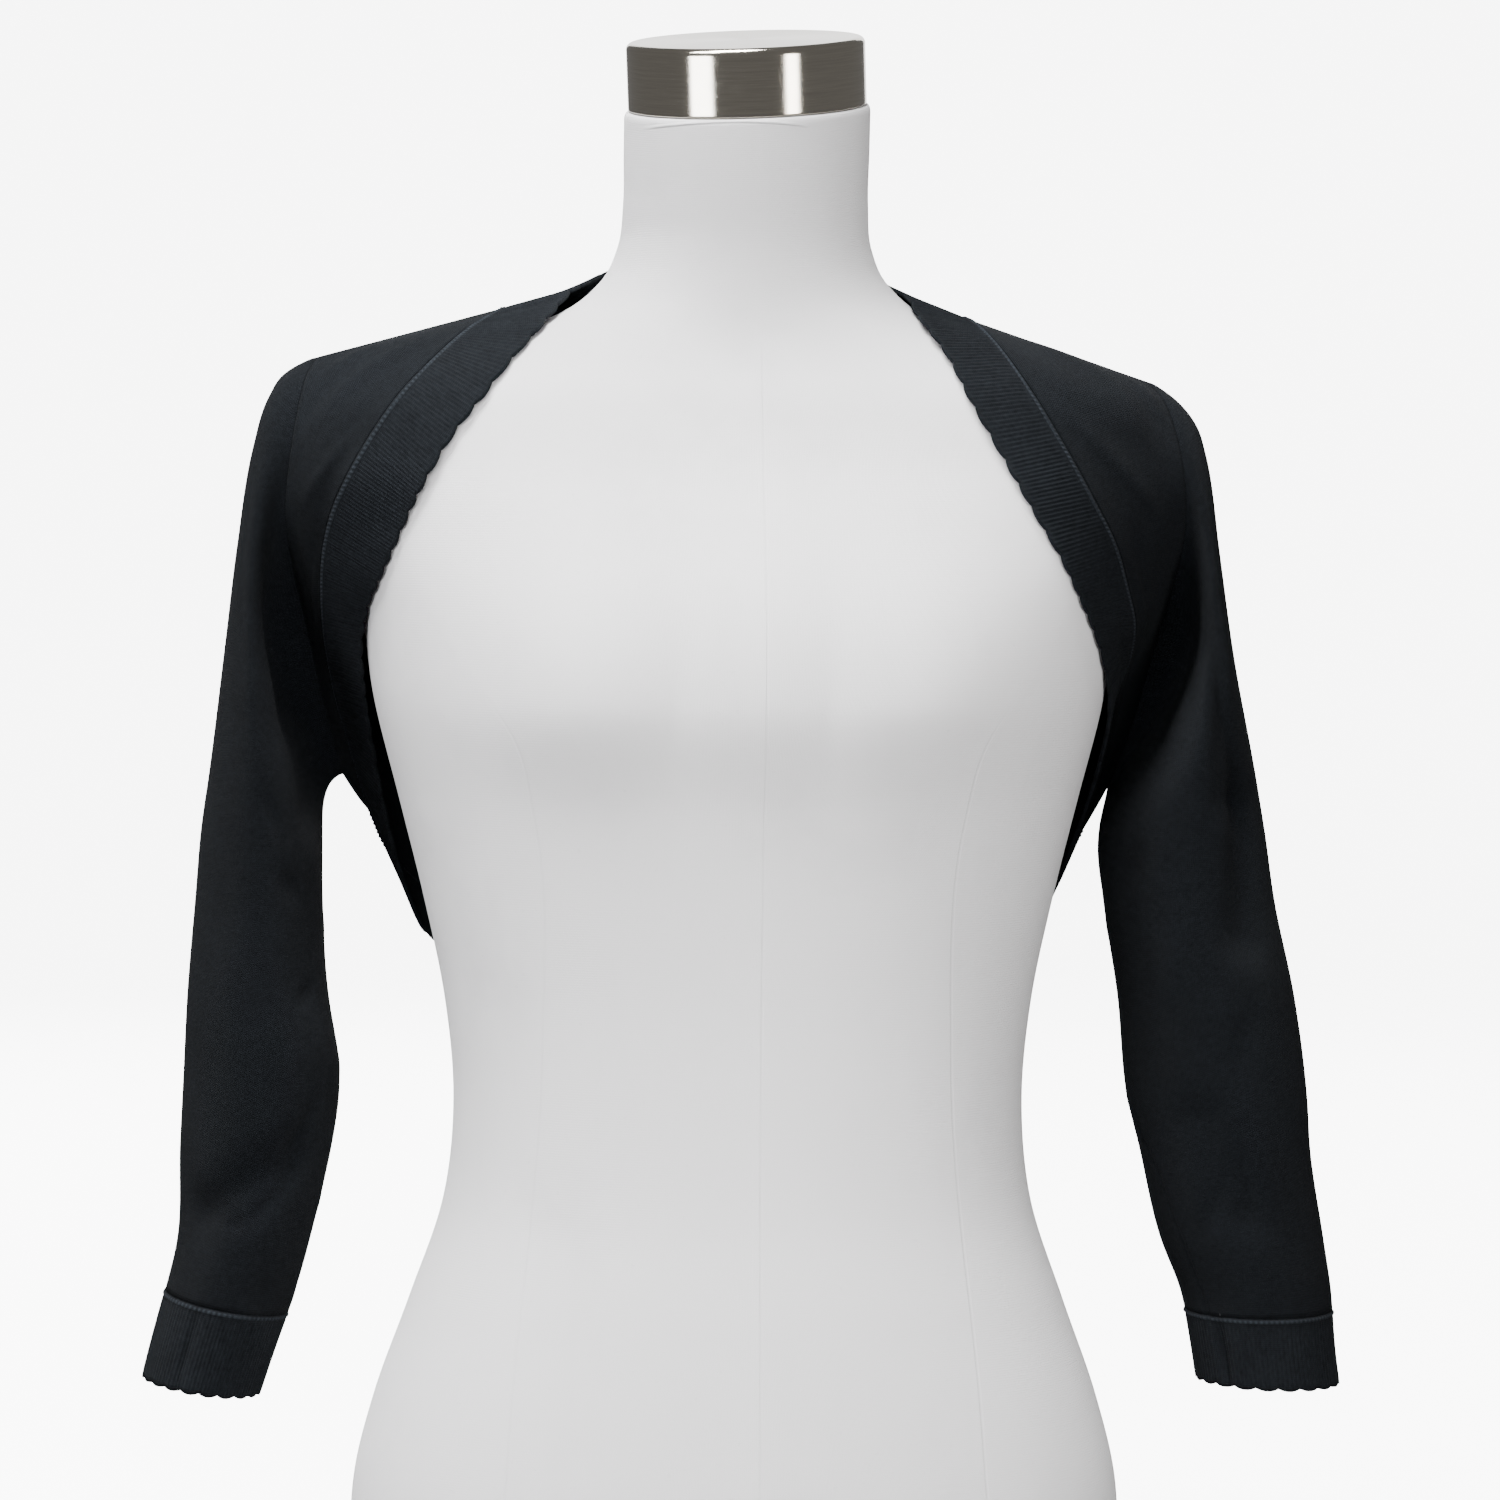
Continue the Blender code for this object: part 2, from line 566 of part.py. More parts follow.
def cuff_solid(side):
    """A ribbed cuff: a tube of three rings, the last one scalloped."""
    top, middle, end = cuff_rows(side)
    coarse = np.stack([top, middle, end[::EDGE_POINTS]])
    core = coarse[:, :-1].mean(axis=1, keepdims=True)
    panel = Panel(coarse, coarse - core, closed=True)
    panel.shift[0] += unit(middle - top) * SEAM_GAP / 2
    last = (end, finer(panel.half[2], EDGE_POINTS), np.arange(len(end)) / EDGE_POINTS)
    return cloth_solid("cuff_" + side, [panel.row(0), panel.row(1), last], closed=True)


def inset_corner(first, second):
    """Where a corner goes when both of its edges step in by half the gap."""
    closeness = np.dot(first, second) / (SEAM_GAP / 2) ** 2
    return (first + second) / max(1 + closeness, SHARPEST_CORNER)


def sew(panels, lines):
    """Give every seam its shared edge, and return the fine rows where the body meets the band."""
    fine = {}
    back = panels["back"]
    for side, column, sign in (("right", 0, 1), ("left", -1, -1)):
        front, line = panels["front_" + side], lines[side]
        shoulder_part = slice(0, SHOULDER_CELLS + 1) if side == "right" else slice(-SHOULDER_CELLS - 1, None)
        way = slice(None, None, -1) if side == "right" else slice(None)
        back_shoulder = np.arange(back.grid.shape[1])[shoulder_part][way]
        half, gap = seam(line["shoulder"], (front.normals[:, 0], front.grid[:, 1]),
                         (back.normals[-1, back_shoulder], back.grid[-2, back_shoulder]))
        front.meet(np.s_[:, 0], half, -gap)
        back.meet((-1, back_shoulder), half, gap)

        rows = np.arange(SHOULDER_CELLS + 1)
        half, gap = seam(line["under"], (front.normals[:, -1], front.grid[:, -2]),
                         (back.normals[rows, column], back.grid[rows, column + sign]))
        front.meet(np.s_[:, -1], half, -gap)
        back.meet((rows, column), half, gap)

        sleeve, cells = panels["sleeve_" + side], line["cells"]
        up = np.arange(SHOULDER_CELLS, back.grid.shape[0])
        normals = np.concatenate([front.normals[-1], back.normals[up[1:], column]])
        nexts = np.concatenate([front.grid[-2], back.grid[up[1:], column + sign]])
        normals[cells] = unit(front.normals[-1, -1] + back.normals[up[0], column])
        normals[[0, -1]] = unit(front.normals[-1, 0] + back.normals[-1, column])
        nexts[cells] = (front.grid[-2, -2] + back.grid[up[0], column + sign]) / 2
        nexts[[0, -1]] = (front.grid[-2, 1] + back.grid[-2, column + sign]) / 2
        half, gap = seam(line["hole"], (normals, nexts), (sleeve.normals[0], sleeve.grid[1]))
        half[-1], gap[-1] = half[0], gap[0]
        front.meet(np.s_[-1, :], half[:cells + 1], -gap[:cells + 1])
        back.meet((up, column), half[cells:], -gap[cells:])
        sleeve.meet(np.s_[0], half, gap)
        sleeve.shift[-1] += unit(sleeve.grid[-2] - sleeve.grid[-1]) * SEAM_GAP / 2

        band = panels["band_" + side]
        middle_column = back.grid.shape[1] // 2
        spans = {
            "neck": (back.normals[-1], back.grid[-2], np.arange(middle_column, SHOULDER_CELLS - 1, -1)),
            "front": (front.normals[0], front.grid[1], np.arange(front.grid.shape[1])),
            "hem": (back.normals[0], back.grid[1], np.arange(0, middle_column + 1)),
        }
        if side == "left":
            mirror = back.grid.shape[1] - 1
            spans = {k: (n, g, mirror - c if k != "front" else c) for k, (n, g, c) in spans.items()}
        for part, (normals, nexts, columns) in spans.items():
            first, last = band_part(part)
            line_part = line["seam"][first:last + 1]
            half, gap = seam(line_part, (band.normals[0, first:last + 1], band.grid[1, first:last + 1]),
                             (unit(finer(normals[columns])), finer(nexts[columns])))
            band.half[0, first:last + 1] = half
            band.shift[0, first:last + 1] = -gap
            fine[part, side] = (line_part + gap, half)
            body, row = (front, 0) if part == "front" else (back, 0 if part == "hem" else -1)
            for end, column_number in ((0, columns[0]), (-1, columns[-1])):
                if np.any(body.shift[row, column_number]):
                    fine[part, side][0][end] = line_part[end] + inset_corner(
                        gap[end], body.shift[row, column_number])
        for before, after in (("neck", "front"), ("front", "hem")):
            shared = (fine[before, side][1][-1] + fine[after, side][1][0]) / 2
            fine[before, side][1][-1] = fine[after, side][1][0] = shared
            band.half[0, band_part(after)[0]] = shared
        for column_number in (0, -1):
            band.half[:, column_number, 0] = 0
            band.half[:, column_number] = unit(band.half[:, column_number]) * WALL / 2
            band.shift[:, column_number, 0] = SEAM_GAP / 2 * (1 if side == "left" else -1)
    return fine


def build_body(panels, fine):
    """The back, the fronts and the two halves of the band as walls."""
    solids = []
    back = panels["back"]
    joined = {}
    for part in ("hem", "neck"):
        (right_points, right_half), (left_points, left_half) = fine[part, "right"], fine[part, "left"]
        turn = 1 if part == "hem" else -1
        points = np.concatenate([right_points[::turn], left_points[::-turn][1:]])
        half = np.concatenate([right_half[::turn], left_half[::-turn][1:]])
        middle = len(points) // 2
        points[middle, 0] = half[middle, 0] = 0
        joined[part] = (points, half)
    points, half = joined["hem"]
    rows = [(points, half, np.arange(len(points)) / 2)]
    rows += [back.row(k) for k in range(1, back.grid.shape[0] - 1)]
    points, half = joined["neck"]
    n = SHOULDER_CELLS
    coarse, coarse_half, _ = back.row(-1)
    at = np.concatenate([np.arange(n), n + np.arange(len(points)) / 2,
                         back.grid.shape[1] - n + np.arange(n)])
    rows.append((np.concatenate([coarse[:n], points, coarse[-n:]]),
                 np.concatenate([coarse_half[:n], half, coarse_half[-n:]]), at))
    solids.append(cloth_solid("back_panel", rows))
    for side in ("right", "left"):
        front, band = panels["front_" + side], panels["band_" + side]
        points, half = fine["front", side]
        rows = [(points, half, np.arange(len(points)) / 2)]
        rows += [front.row(k) for k in range(1, front.grid.shape[0])]
        solids.append(cloth_solid("front_" + side, rows))
        edge = scalloped(band.grid[2] + band.shift[2], band.grid[1])
        last = (edge, finer(band.half[2], EDGE_POINTS), np.arange(len(edge)) / EDGE_POINTS)
        solids.append(cloth_solid("band_" + side, [band.row(0), band.row(1), last]))
    return solids


def form_body():
    """The covered form: rings at equal steps along its outline, flat at the base, the neck's top tipped."""
    sections = np.array(FORM_SECTIONS)
    outline = np.column_stack([sections[:, 1], sections[:, 2], sections[:, 0]])
    heights = [0.0]
    for low, high, rings in FORM_ZONES:
        inside = (outline[:, 2] >= low) & (outline[:, 2] <= high)
        heights += along(outline[inside], rings)[1:, 2].tolist()
    rings = np.array([form_ring(z, FORM_COLUMNS) for z in heights])
    top = sections[-1, 0]
    share = np.clip((rings[..., 2] - LEAN_FROM) / (top - LEAN_FROM), 0, 1)
    lean, tip = np.tan(np.radians([NECK_LEAN, NECK_TIP]))
    rings[..., 2] += share * (lean * (rings[..., 1] - sections[-1, 4]) + tip * rings[..., 0])
    count = FORM_COLUMNS
    corners = np.arange(rings.shape[0] * count).reshape(-1, count)
    faces = []
    for low, high in zip(corners[:-1], corners[1:]):
        low_next, high_next = np.roll(low, -1), np.roll(high, -1)
        faces += np.column_stack([low, low_next, high_next, high]).tolist()
    faces.append(corners[0][::-1].tolist())
    faces.append(corners[-1].tolist())
    return solid("form_body", rings.reshape(-1, 3), faces)


def neck_cap():
    """The metal cap: a turned drum with a rounded top edge, tipped as the neck is."""
    bend = np.radians(np.linspace(90, 0, 4))
    profile = [(0, CAP_HEIGHT)]
    profile += [(CAP_RADIUS - CAP_ROUNDING * (1 - np.cos(a)), CAP_HEIGHT - CAP_ROUNDING * (1 - np.sin(a)))
                for a in bend]
    profile += [(CAP_RADIUS, CAP_BEVEL), (CAP_RADIUS - CAP_BEVEL, 0), (0, 0)]
    mesh = bpy.data.meshes.new("neck_cap")
    edges = [(k, k + 1) for k in range(len(profile) - 1)]
    mesh.from_pydata([(r * MM, 0, z * MM) for r, z in profile], edges, [])
    cap = bpy.data.objects.new("neck_cap", mesh)
    screw = cap.modifiers.new("Turn", "SCREW")
    screw.steps = screw.render_steps = CAP_SEGMENTS
    screw.use_merge_vertices = True
    screw.merge_threshold = 0.0001
    screw.use_smooth_shade = True
    top = FORM_SECTIONS[-1]
    lean, tip = np.radians([NECK_LEAN, NECK_TIP])
    cap.rotation_euler = (lean, -tip, 0)
    away = np.array([-np.cos(lean) * np.sin(tip), -np.sin(lean), np.cos(lean) * np.cos(tip)])
    cap.location = (np.array([0, top[4], top[0]]) + SEAM_GAP * away) * MM
    return cap


def finish(name):
    """A plain material from the table of finishes."""
    look = FINISHES[name]
    material = bpy.data.materials.new(name)
    material.use_nodes = True
    shader = material.node_tree.nodes["Principled BSDF"]
    shader.inputs["Base Color"].default_value = (*look["colour"], 1)
    shader.inputs["Roughness"].default_value = look["roughness"]
    shader.inputs["Metallic"].default_value = look["metallic"]
    return material


def finish_of(name):
    """Which finish a piece has."""
    if name == "form_body":
        return "cover"
    if name == "neck_cap":
        return "metal"
    return "rib" if name.startswith(("band", "cuff")) else "knit"


def main():
    for item in list(bpy.data.objects):
        bpy.data.objects.remove(item, do_unlink=True)
    lines = {side: body_side(side) for side in ("right", "left")}
    panels = {"back": back_panel(lines)}
    for side in ("right", "left"):
        panels["front_" + side] = front_panel(lines[side])
        panels["band_" + side] = band_panel(lines[side])
        panels["sleeve_" + side] = sleeve_panel(side, lines[side])
    fine = sew(panels, lines)
    solids = [form_body(), neck_cap(), *build_body(panels, fine)]
    for side in ("right", "left"):
        sleeve = panels["sleeve_" + side]
        rows = [sleeve.row(k) for k in range(len(sleeve.grid))]
        solids.append(cloth_solid("sleeve_" + side, rows, closed=True))
        solids.append(cuff_solid(side))
    collection = bpy.data.collections.new(COLLECTION)
    bpy.context.scene.collection.children.link(collection)
    materials = {name: finish(name) for name in FINISHES}
    for item in solids:
        item.data.materials.append(materials[finish_of(item.name)])
        collection.objects.link(item)


main()
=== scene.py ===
"""The finished look of a knitted shrug with ribbed, scalloped edges, on a limbless dress form.

The tables are in millimetres, and MM turns them into metres. +X is the wearer's left, -Y the
front, +Z up. "out" is the distance from the centre plane x = 0, "back" is y and "up" is z.
"""

import bpy
import numpy as np
from mathutils import Matrix, Vector


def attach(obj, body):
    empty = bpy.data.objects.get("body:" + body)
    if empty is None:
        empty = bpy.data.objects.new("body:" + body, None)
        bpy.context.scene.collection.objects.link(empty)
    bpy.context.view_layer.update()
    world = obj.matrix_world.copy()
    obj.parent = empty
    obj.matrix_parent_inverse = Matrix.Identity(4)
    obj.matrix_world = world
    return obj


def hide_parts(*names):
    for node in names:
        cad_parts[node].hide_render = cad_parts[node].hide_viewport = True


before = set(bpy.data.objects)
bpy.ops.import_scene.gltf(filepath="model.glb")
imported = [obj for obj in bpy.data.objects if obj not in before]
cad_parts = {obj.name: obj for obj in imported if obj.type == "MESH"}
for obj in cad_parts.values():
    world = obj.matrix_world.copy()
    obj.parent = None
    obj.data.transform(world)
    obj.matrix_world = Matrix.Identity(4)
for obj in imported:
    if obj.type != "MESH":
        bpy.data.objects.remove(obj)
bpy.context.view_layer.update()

MM = 0.001

# Camera and light
CAMERA_AZIMUTH = -3.5           # degrees round from the front
CAMERA_DISTANCE = 2.2
CAMERA_HEIGHT = 0.52
CAMERA_TARGET = (0.0043, 0.0, 0.41175)
CAMERA_ROLL = 0.4               # degrees
VIEW_WIDTH = 0.675              # of the photograph, at the form's axis
SENSOR = 36.0

WORLD_COLOUR = (1.0, 0.99, 0.985)
WORLD_STRENGTH = 0.18
# place, target, width and height, power, colour, seen in reflections
LIGHTS = {
    "overhead": ((-0.4, -0.65, 3.0), (0, 0, 0.45), (1.0, 1.0), 165, (1, 1, 1), True),
    "key": ((-1.2, -1.0, 2.6), (0, 0, 0.45), (0.9, 0.9), 80, (1, 1, 1), True),
    "fill_left": ((-0.5, -2.3, 1.5), (0, 0, 0.42), (1.3, 1.3), 44, (1, 1, 1), False),
    "fill_right": ((1.0, -2.2, 1.0), (0, 0, 0.42), (1.2, 1.2), 24, (1, 1, 1), False),
    "strip_left": ((-1.62, -1.48, 0.2), (0, 0, 0.66), (0.84, 0.55), 26, (0.97, 0.98, 1), True),
    "strip_right": ((1.46, -1.65, 0.2), (0, 0, 0.66), (0.47, 0.55), 16, (1, 0.98, 0.95), True),
    "behind": ((0.3, 2.4, 1.35), (0, 0, 0.5), (1.6, 1.4), 17, (1, 1, 1), True),
    "fill_behind": ((-0.7, 2.3, 1.5), (0, 0, 0.42), (1.3, 1.3), 62, (1, 1, 1), False),
}
BACKDROP_GLOW = 7.0
BACKDROP_COLOUR = (0.9, 0.9, 0.9)
FLOOR_RADIUS, FLOOR_BEND, WALL_HEIGHT = 6.0, 2.5, 2.6
FLOOR_RINGS = (0.02, 1.5)       # radii of its flat part
BEND_STEPS, FLOOR_STEPS = 25, 96

# The materials. noise: cells in a metre, detail, roughness. Lengths are in metres.
KNIT = dict(wale=0.0013, course=0.001, dark=(0.0034, 0.004, 0.0049), light=(0.009, 0.0107, 0.0131),
            lint=(0.05, 0.05, 0.055), depth=0.0005)
RIB_KNIT = dict(wale=0.0011, course=0.0009, dark=(0.0038, 0.0044, 0.0053), light=(0.0125, 0.0147, 0.0177),
                lint=(0.045, 0.045, 0.05), depth=0.0004)
WALE_SLANT, COURSE_WAVE = 1.5, 0.3
STITCH = dict(tone=0.6, height=0.7, rough=(0.98, 0.86))
SLUB = dict(noise=(1300, 2, 0.6), axes=(1, 0.16, 1), tone=0.35, height=0.25)
FUZZ = dict(noise=(2600, 3, 0.7), height=0.35)
UNEVEN = dict(noise=(34, 3, 0.6), tone=0.5)
MOTTLE = dict(noise=(480, 2, 0.6), tone=0.7)
DARK_STOP, LIGHT_STOP = 0.08, 0.85
# The painted highlight along the raised linking chain: where it lies from the seam, its half width and
# full-strength core, a stitch's length, the mean and swing of its strength, and how many times the light tone
# it is
CHAIN_HIGHLIGHT = dict(at=0.0015, half=0.0011, core=0.0004, stitch=0.0024, mean=0.6, swing=0.3, highlight_gain=2.1)
LINT = dict(scale=105, axes=(1, 1, 0.45), size=0.035, rarity=0.9)
COVER = dict(colour=(0.80, 0.79, 0.80), clean=(0.83, 0.82, 0.83), soiled=(0.50, 0.49, 0.51),
             wale=0.0009, course=0.0011, grain=0.05, relief=(0.00012, 0.8))
PILL = dict(noise=(900, 3, 0.7), height=0.6, range=(0.2, 0.8), rough=(0.82, 0.95))
SMUDGE = dict(noise=(9, 4, 0.65), range=(0.52, 0.78), tone=0.22)
STREAK = dict(noise=(40, 3, 0.6), axes=(1, 1, 0.2), range=(0.5, 0.8), tone=0.06)
SPECK = dict(noise=(330, 2), range=(0.70, 0.76), tone=0.12)
LINE_CORE = 0.15                # share of a seam's half width at full strength
COVER_SEAM = dict(side=0.0009, side_up=(0.445, 0.40), side_puff=0.006, centre=0.0008, centre_up=(0.60, 0.58),
                  centre_puff=0.005, tone=0.09, puff=0.5, height=0.3, relief=(0.0006, 0.9))
CAP_COLOUR = (0.58, 0.54, 0.47)
BRUSHED = dict(anisotropy=0.75, turn=0.25, lines=(5200, 3, 0.7), line_axes=(0.012, 1, 1), bands=(900, 2, 0.6),
               band_axes=(0.03, 1, 1), tone=0.45, edge_up=(0.0022, 0.0004), edge_tone=0.25,
               shades=((0.2, 0.82), (0.75, 1.14)), line_range=(0.25, 0.75), rough=(0.1, 0.17),
               relief=(0.00003, 0.35))
RUBS = dict(noise=(60, 4, 0.7), range=(0.55, 0.8), rough=0.1)

# The cloth
WALL = 1.6
SEAM_GAP = 0.08
SEAM_OFF_FORM = 2.4
CLOTH_OFF_FORM = 3.4
BAND_SCALLOPS = dict(neck=12, front=28, hem=22)
CUFF_SCALLOPS = 20
SCALLOP_DEPTH = 1.4
SHOULDER_CELLS = 5
BACK_ARMHOLE_CELLS = 12
SHARPEST_MITRE = 0.62
FRONT_BOW = 0.09
FRONT_ROUNDS = 2
BACK_ROUNDS = 80
BACK_FADE = 2.5
FINE = 8                        # fine cells for each large cell of the body and the sleeves
BAND_FINE = 24                  # fine cells for each scallop of the band
SLEEVE_RINGS = 196
CUFF_FINE = 20                  # fine cells for each scallop of a cuff
CURVE_SAMPLES = 160             # of a smooth curve between two rows of its table

# Where the rows of the band and the cuffs lie across them, as shares of their width
BAND_ROWS = (0, 0.02, 0.04, 0.062, 0.085, 0.115, 0.17, 0.27, 0.4, 0.53, 0.66, 0.78, 0.87, 0.93, 0.97, 1)
CUFF_ROWS = (0, 0.02, 0.045, 0.07, 0.1, 0.15, 0.24, 0.36, 0.5, 0.63, 0.75, 0.84, 0.9, 0.95, 1)
RIBS = dict(band=6, cuff=5)     # ribs for each scallop
# A rib's height, where it starts from the seam, how it fades in, and its share and fade at the rim
RIB = dict(height=0.22, start=2.2, fade=2.0, at_rim=0.45, rim=3.0)
# The chain of linking stitches: from the seam, half width, height, a stitch's length, its least
# height as a share and its slant, and the groove at the seam with its half width
LINKING = dict(at=1.4, half=0.8, height=0.9, stitch=2.4, least=0.24, slant=1.5, groove=0.2, groove_half=0.55)
SHOWS_THROUGH = 0.6             # share of a relief on the inner face
EDGE_ROLL = 3.5                 # width of the scalloped rim
SCALLOP_ROUNDING = 0.8
BAND_OFF_FORM = 1.2             # at the least, where a fold presses the band in
PROBE = 0.5                     # step for the slope of the form's level
CLEARING_ROUNDS = 4
CREASE_TAPER, SEAM_TAPER = 0.7, 0.25
# Where folds fade out: the panel's sides and ends, and the band's edges, as shares
SIDE_FADE, END_FADE, BAND_FADE = 0.05, 0.14, 0.15

# The dress form
FORM_ROWS = 230
FORM_COLUMNS = 288
NECK_LEAN = 9.8                 # degrees forward
NECK_TIP = 2.8                  # degrees to the wearer's right
LEAN_FROM = 645.0
CAP_RADIUS = 53.0
CAP_HEIGHT = 30.0
CAP_GAP = 0.3
CAP_ROUNDING = 3.0
CAP_BEVEL = 0.6
CAP_STEPS = 180
CAP_BEND_ROWS = 9
CAP_SIDE = (1.2, 26.4, 5)       # from, to, rows
FAN_REACH = 10.0                # of the map, on a flat end
FLAT_END_RINGS = (0.02, 0.3, 0.6, 0.9, 0.985)     # shares of the radius
# The fold of the cover's hem under the cap: it bows down from its middle, in metres
HEM_FOLD = dict(off_centre=0.011, below=0.0008, bow=3.6, reach=0.037, full=0.0296, front_of=-0.03,
                half=0.0012)
FORM_GIRTH = 900.0              # round the form's middle, for the grain of its cover
# The rounded top edge: its height, inwards as a share of the radius, rows
COVER_EDGE = dict(tall=3.5, inwards=0.027, rows=7)
CENTRE_SEAM = 5.0               # x of the cover's front and back seam
# up, out
PRINCESS_SEAM = ((0, 112), (125, 103), (280, 90), (385, 94), (420, 103), (444, 119), (500, 150), (698, 150))

# up, half width, front depth, back depth (both from x = y = 0), middle y, squareness
FORM_SECTIONS = (
    (0, 171, 96, 104, 6, 2.35), (40, 174, 99, 110, 6, 2.35), (85, 172.5, 100, 112, 6, 2.3),
    (119, 164, 98, 107, 6, 2.3), (164, 148, 94, 93, 4, 2.25), (209, 133, 89, 81, 2, 2.2),
    (254, 128.5, 87, 76, 2, 2.2), (299, 132.5, 87, 79, 5, 2.2), (344, 142, 90, 85, 10, 2.25),
    (389, 153.5, 95, 90, 16, 2.3), (434, 165, 101, 93, 20, 2.35), (480, 172, 97, 94, 22, 2.4),
    (515, 181, 84, 92, 20, 2.4), (540, 187, 73, 88, 17, 2.4), (556, 188, 68, 84, 15, 2.35),
    (567, 185, 65, 80, 14, 2.3), (575, 176, 62.5, 77, 13, 2.25), (582.5, 158, 60, 72, 11, 2.15),
    (590, 132, 58, 67, 8, 2.1), (598.5, 104, 56.5, 62, 5, 2.05), (608.5, 80, 56, 57, 3, 2.0),
    (620.5, 65, 56.5, 52, 0, 2.0), (636, 57, 58.5, 47, -4, 2.0), (655, 54.7, 63, 42, -10, 2.0),
    (678, 54.7, 68.5, 37.5, -15, 2.0), (698, 54.7, 72.5, 34, -19, 2.0),
)
BUST = dict(up=437, reach=13, out=78, width=48, rise=62, drop=36)
BUST_BRIDGE = dict(share=0.55, width=60)

# Round the armhole: turn in degrees (0 shoulder tip, 90 front, 180 underarm, 270 back), out, back, up
ARMHOLE = {
    "right": (
        (0, 191, 12, 586), (25, 196, -6, 574), (50, 201, -14, 548), (75, 204, -8, 518),
        (100, 201, 8, 493), (125, 195.5, 24, 469), (150, 189, 42, 435), (180, 179.5, 59, 398),
        (210, 181, 73, 425), (240, 184.5, 80, 468), (270, 189, 79, 508), (300, 193, 67, 545),
        (330, 194, 44, 573), (360, 191, 12, 586),
    ),
    "left": (
        (0, 185, 12, 578), (25, 191, -6, 566), (50, 197, -14, 541), (75, 199, -8, 512),
        (100, 196, 9, 486), (125, 191.5, 26, 462), (150, 184.5, 43, 427), (180, 175, 57, 395),
        (210, 176, 71, 418), (240, 180, 78, 460), (270, 185, 78, 500), (300, 188, 68, 537),
        (330, 189, 45, 565), (360, 185, 12, 578),
    ),
}

# Along half the band: the seam to the body (out, back, up), then the scalloped edge (out, back, up)
BAND = {
    "right": dict(
        neck=(
            (0, 66, 604, 0, 53, 632), (40, 60, 606, 32, 47, 631), (80, 42, 609, 58, 29, 627),
            (109, 12, 608.5, 78, 3, 617),
        ),
        front=(
            (109, 12, 608.5, 78, 3, 617), (125, -14, 598, 95, -33, 597), (140, -33, 584, 116, -53, 571),
            (153, -42, 570, 130, -55, 553), (165, -42, 553, 142, -56, 533), (176, -37, 534, 150, -52, 517),
            (182.5, -28, 520, 156, -46, 503), (187, -15, 503, 162.5, -37, 489),
            (188.5, 3, 479, 168.5, -16, 473), (187.5, 18, 461, 171, 0, 457), (185, 31, 445, 170, 12, 440),
            (182, 42, 430, 168.5, 23, 426), (178, 50, 417, 166, 33, 410), (173.5, 56, 401, 162, 43, 388),
            (167, 62.5, 380, 155, 54, 358),
        ),
        hem=(
            (167, 62.5, 380, 155, 54, 358), (161.5, 68.5, 367, 149.5, 63, 341),
            (153, 75, 354, 142.5, 72, 325), (139, 81.5, 342.5, 127, 82, 313),
            (108, 88, 333.5, 99, 88, 303.5), (55, 93, 328, 52, 92, 298), (0, 95, 327, 0, 93, 297),
        ),
    ),
    "left": dict(
        neck=(
            (0, 66, 604, 0, 53, 632), (38, 60, 606, 31, 47, 631), (74, 42, 608, 57, 29, 626),
            (102, 12, 606, 72, 2, 616.5),
        ),
        front=(
            (102, 12, 606, 72, 2, 616.5), (105, -14, 602, 77, -33, 605), (114, -38, 589, 88, -50, 588),
            (126, -51, 570, 98, -60, 567), (138, -54, 550, 111, -64, 544), (153, -51, 524, 126, -66, 518),
            (163, -44, 506, 138, -62, 498), (170, -33, 487, 147, -55, 481), (175.5, -19, 470, 155, -44, 466),
            (176, -5, 458, 160.5, -30, 452), (174.5, 7, 448, 165, -15, 438), (172, 19, 437, 166.5, -1, 424),
            (170.5, 31, 422, 165, 13, 407), (168.5, 45, 401, 161, 30, 385), (162.5, 61, 372, 151, 51, 349),
        ),
        hem=(
            (162.5, 61, 372, 151, 51, 349), (157, 68, 361, 145.5, 62, 335), (149, 75, 350, 136, 73, 323),
            (134, 81.5, 341, 121, 82, 312), (107, 88, 333.5, 98, 88, 303.5), (55, 93, 328, 52, 92, 298),
            (0, 95, 327, 0, 93, 297),
        ),
    ),
}

# Down the sleeve: up, out of its outer line, out of its inner line, middle y, half depth
SLEEVE = {
    "right": (
        (100, 274, 220, 12, 30), (130, 267, 213, 13, 31), (142, 264, 208.5, 13, 32),
        (164, 258, 201, 14, 34), (187, 252.5, 194.5, 15, 36), (232, 251, 185.5, 16, 39),
        (265, 249.5, 185, 17, 41), (299, 248, 187, 19, 43), (344, 244.5, 189, 22, 46),
        (375, 242, 190, 24, 49), (400, 238.5, 193, 25, 52), (457, 231.5, 197, 25, 55),
        (502, 226, 197, 24, 55), (547, 218.5, 194, 20, 48), (569, 212, 190, 16, 38),
        (580, 206, 187, 14, 27), (590, 192, 182, 12, 14),
    ),
    "left": (
        (100, 281, 216, 12, 30), (130, 276, 212, 13, 31), (142, 274.5, 210, 13, 32),
        (164, 273, 205.5, 14, 34), (187, 269.5, 196.5, 15, 36), (232, 262.5, 185.5, 16, 39),
        (250, 261.5, 181, 17, 40), (299, 255, 176, 19, 43), (344, 245.5, 169.5, 22, 46),
        (375, 241, 168, 24, 49), (400, 236.5, 174, 25, 52), (457, 224.5, 188, 25, 55),
        (502, 217, 188, 24, 55), (547, 209.5, 186, 20, 47), (558, 206.5, 184, 17, 40),
        (569, 200, 182, 14, 28), (582, 186, 176, 12, 13),
    ),
}
SLEEVE_CUFFS = {
    "right": dict(seam=(161, 10), end=(124, 8)),
    "left": dict(seam=(156, 0), end=(124, -2)),
}
UNDERARM_SWING = ((122, 38, 13), (215, 34, 2))
OUT_BY = 0.33
BACK_BY = 0.42
RING_EASE = 1.5
SLOW, QUICK, TIP_SPREAD = 2, 7, 40
SLEEVE_GIRTH = 38.0

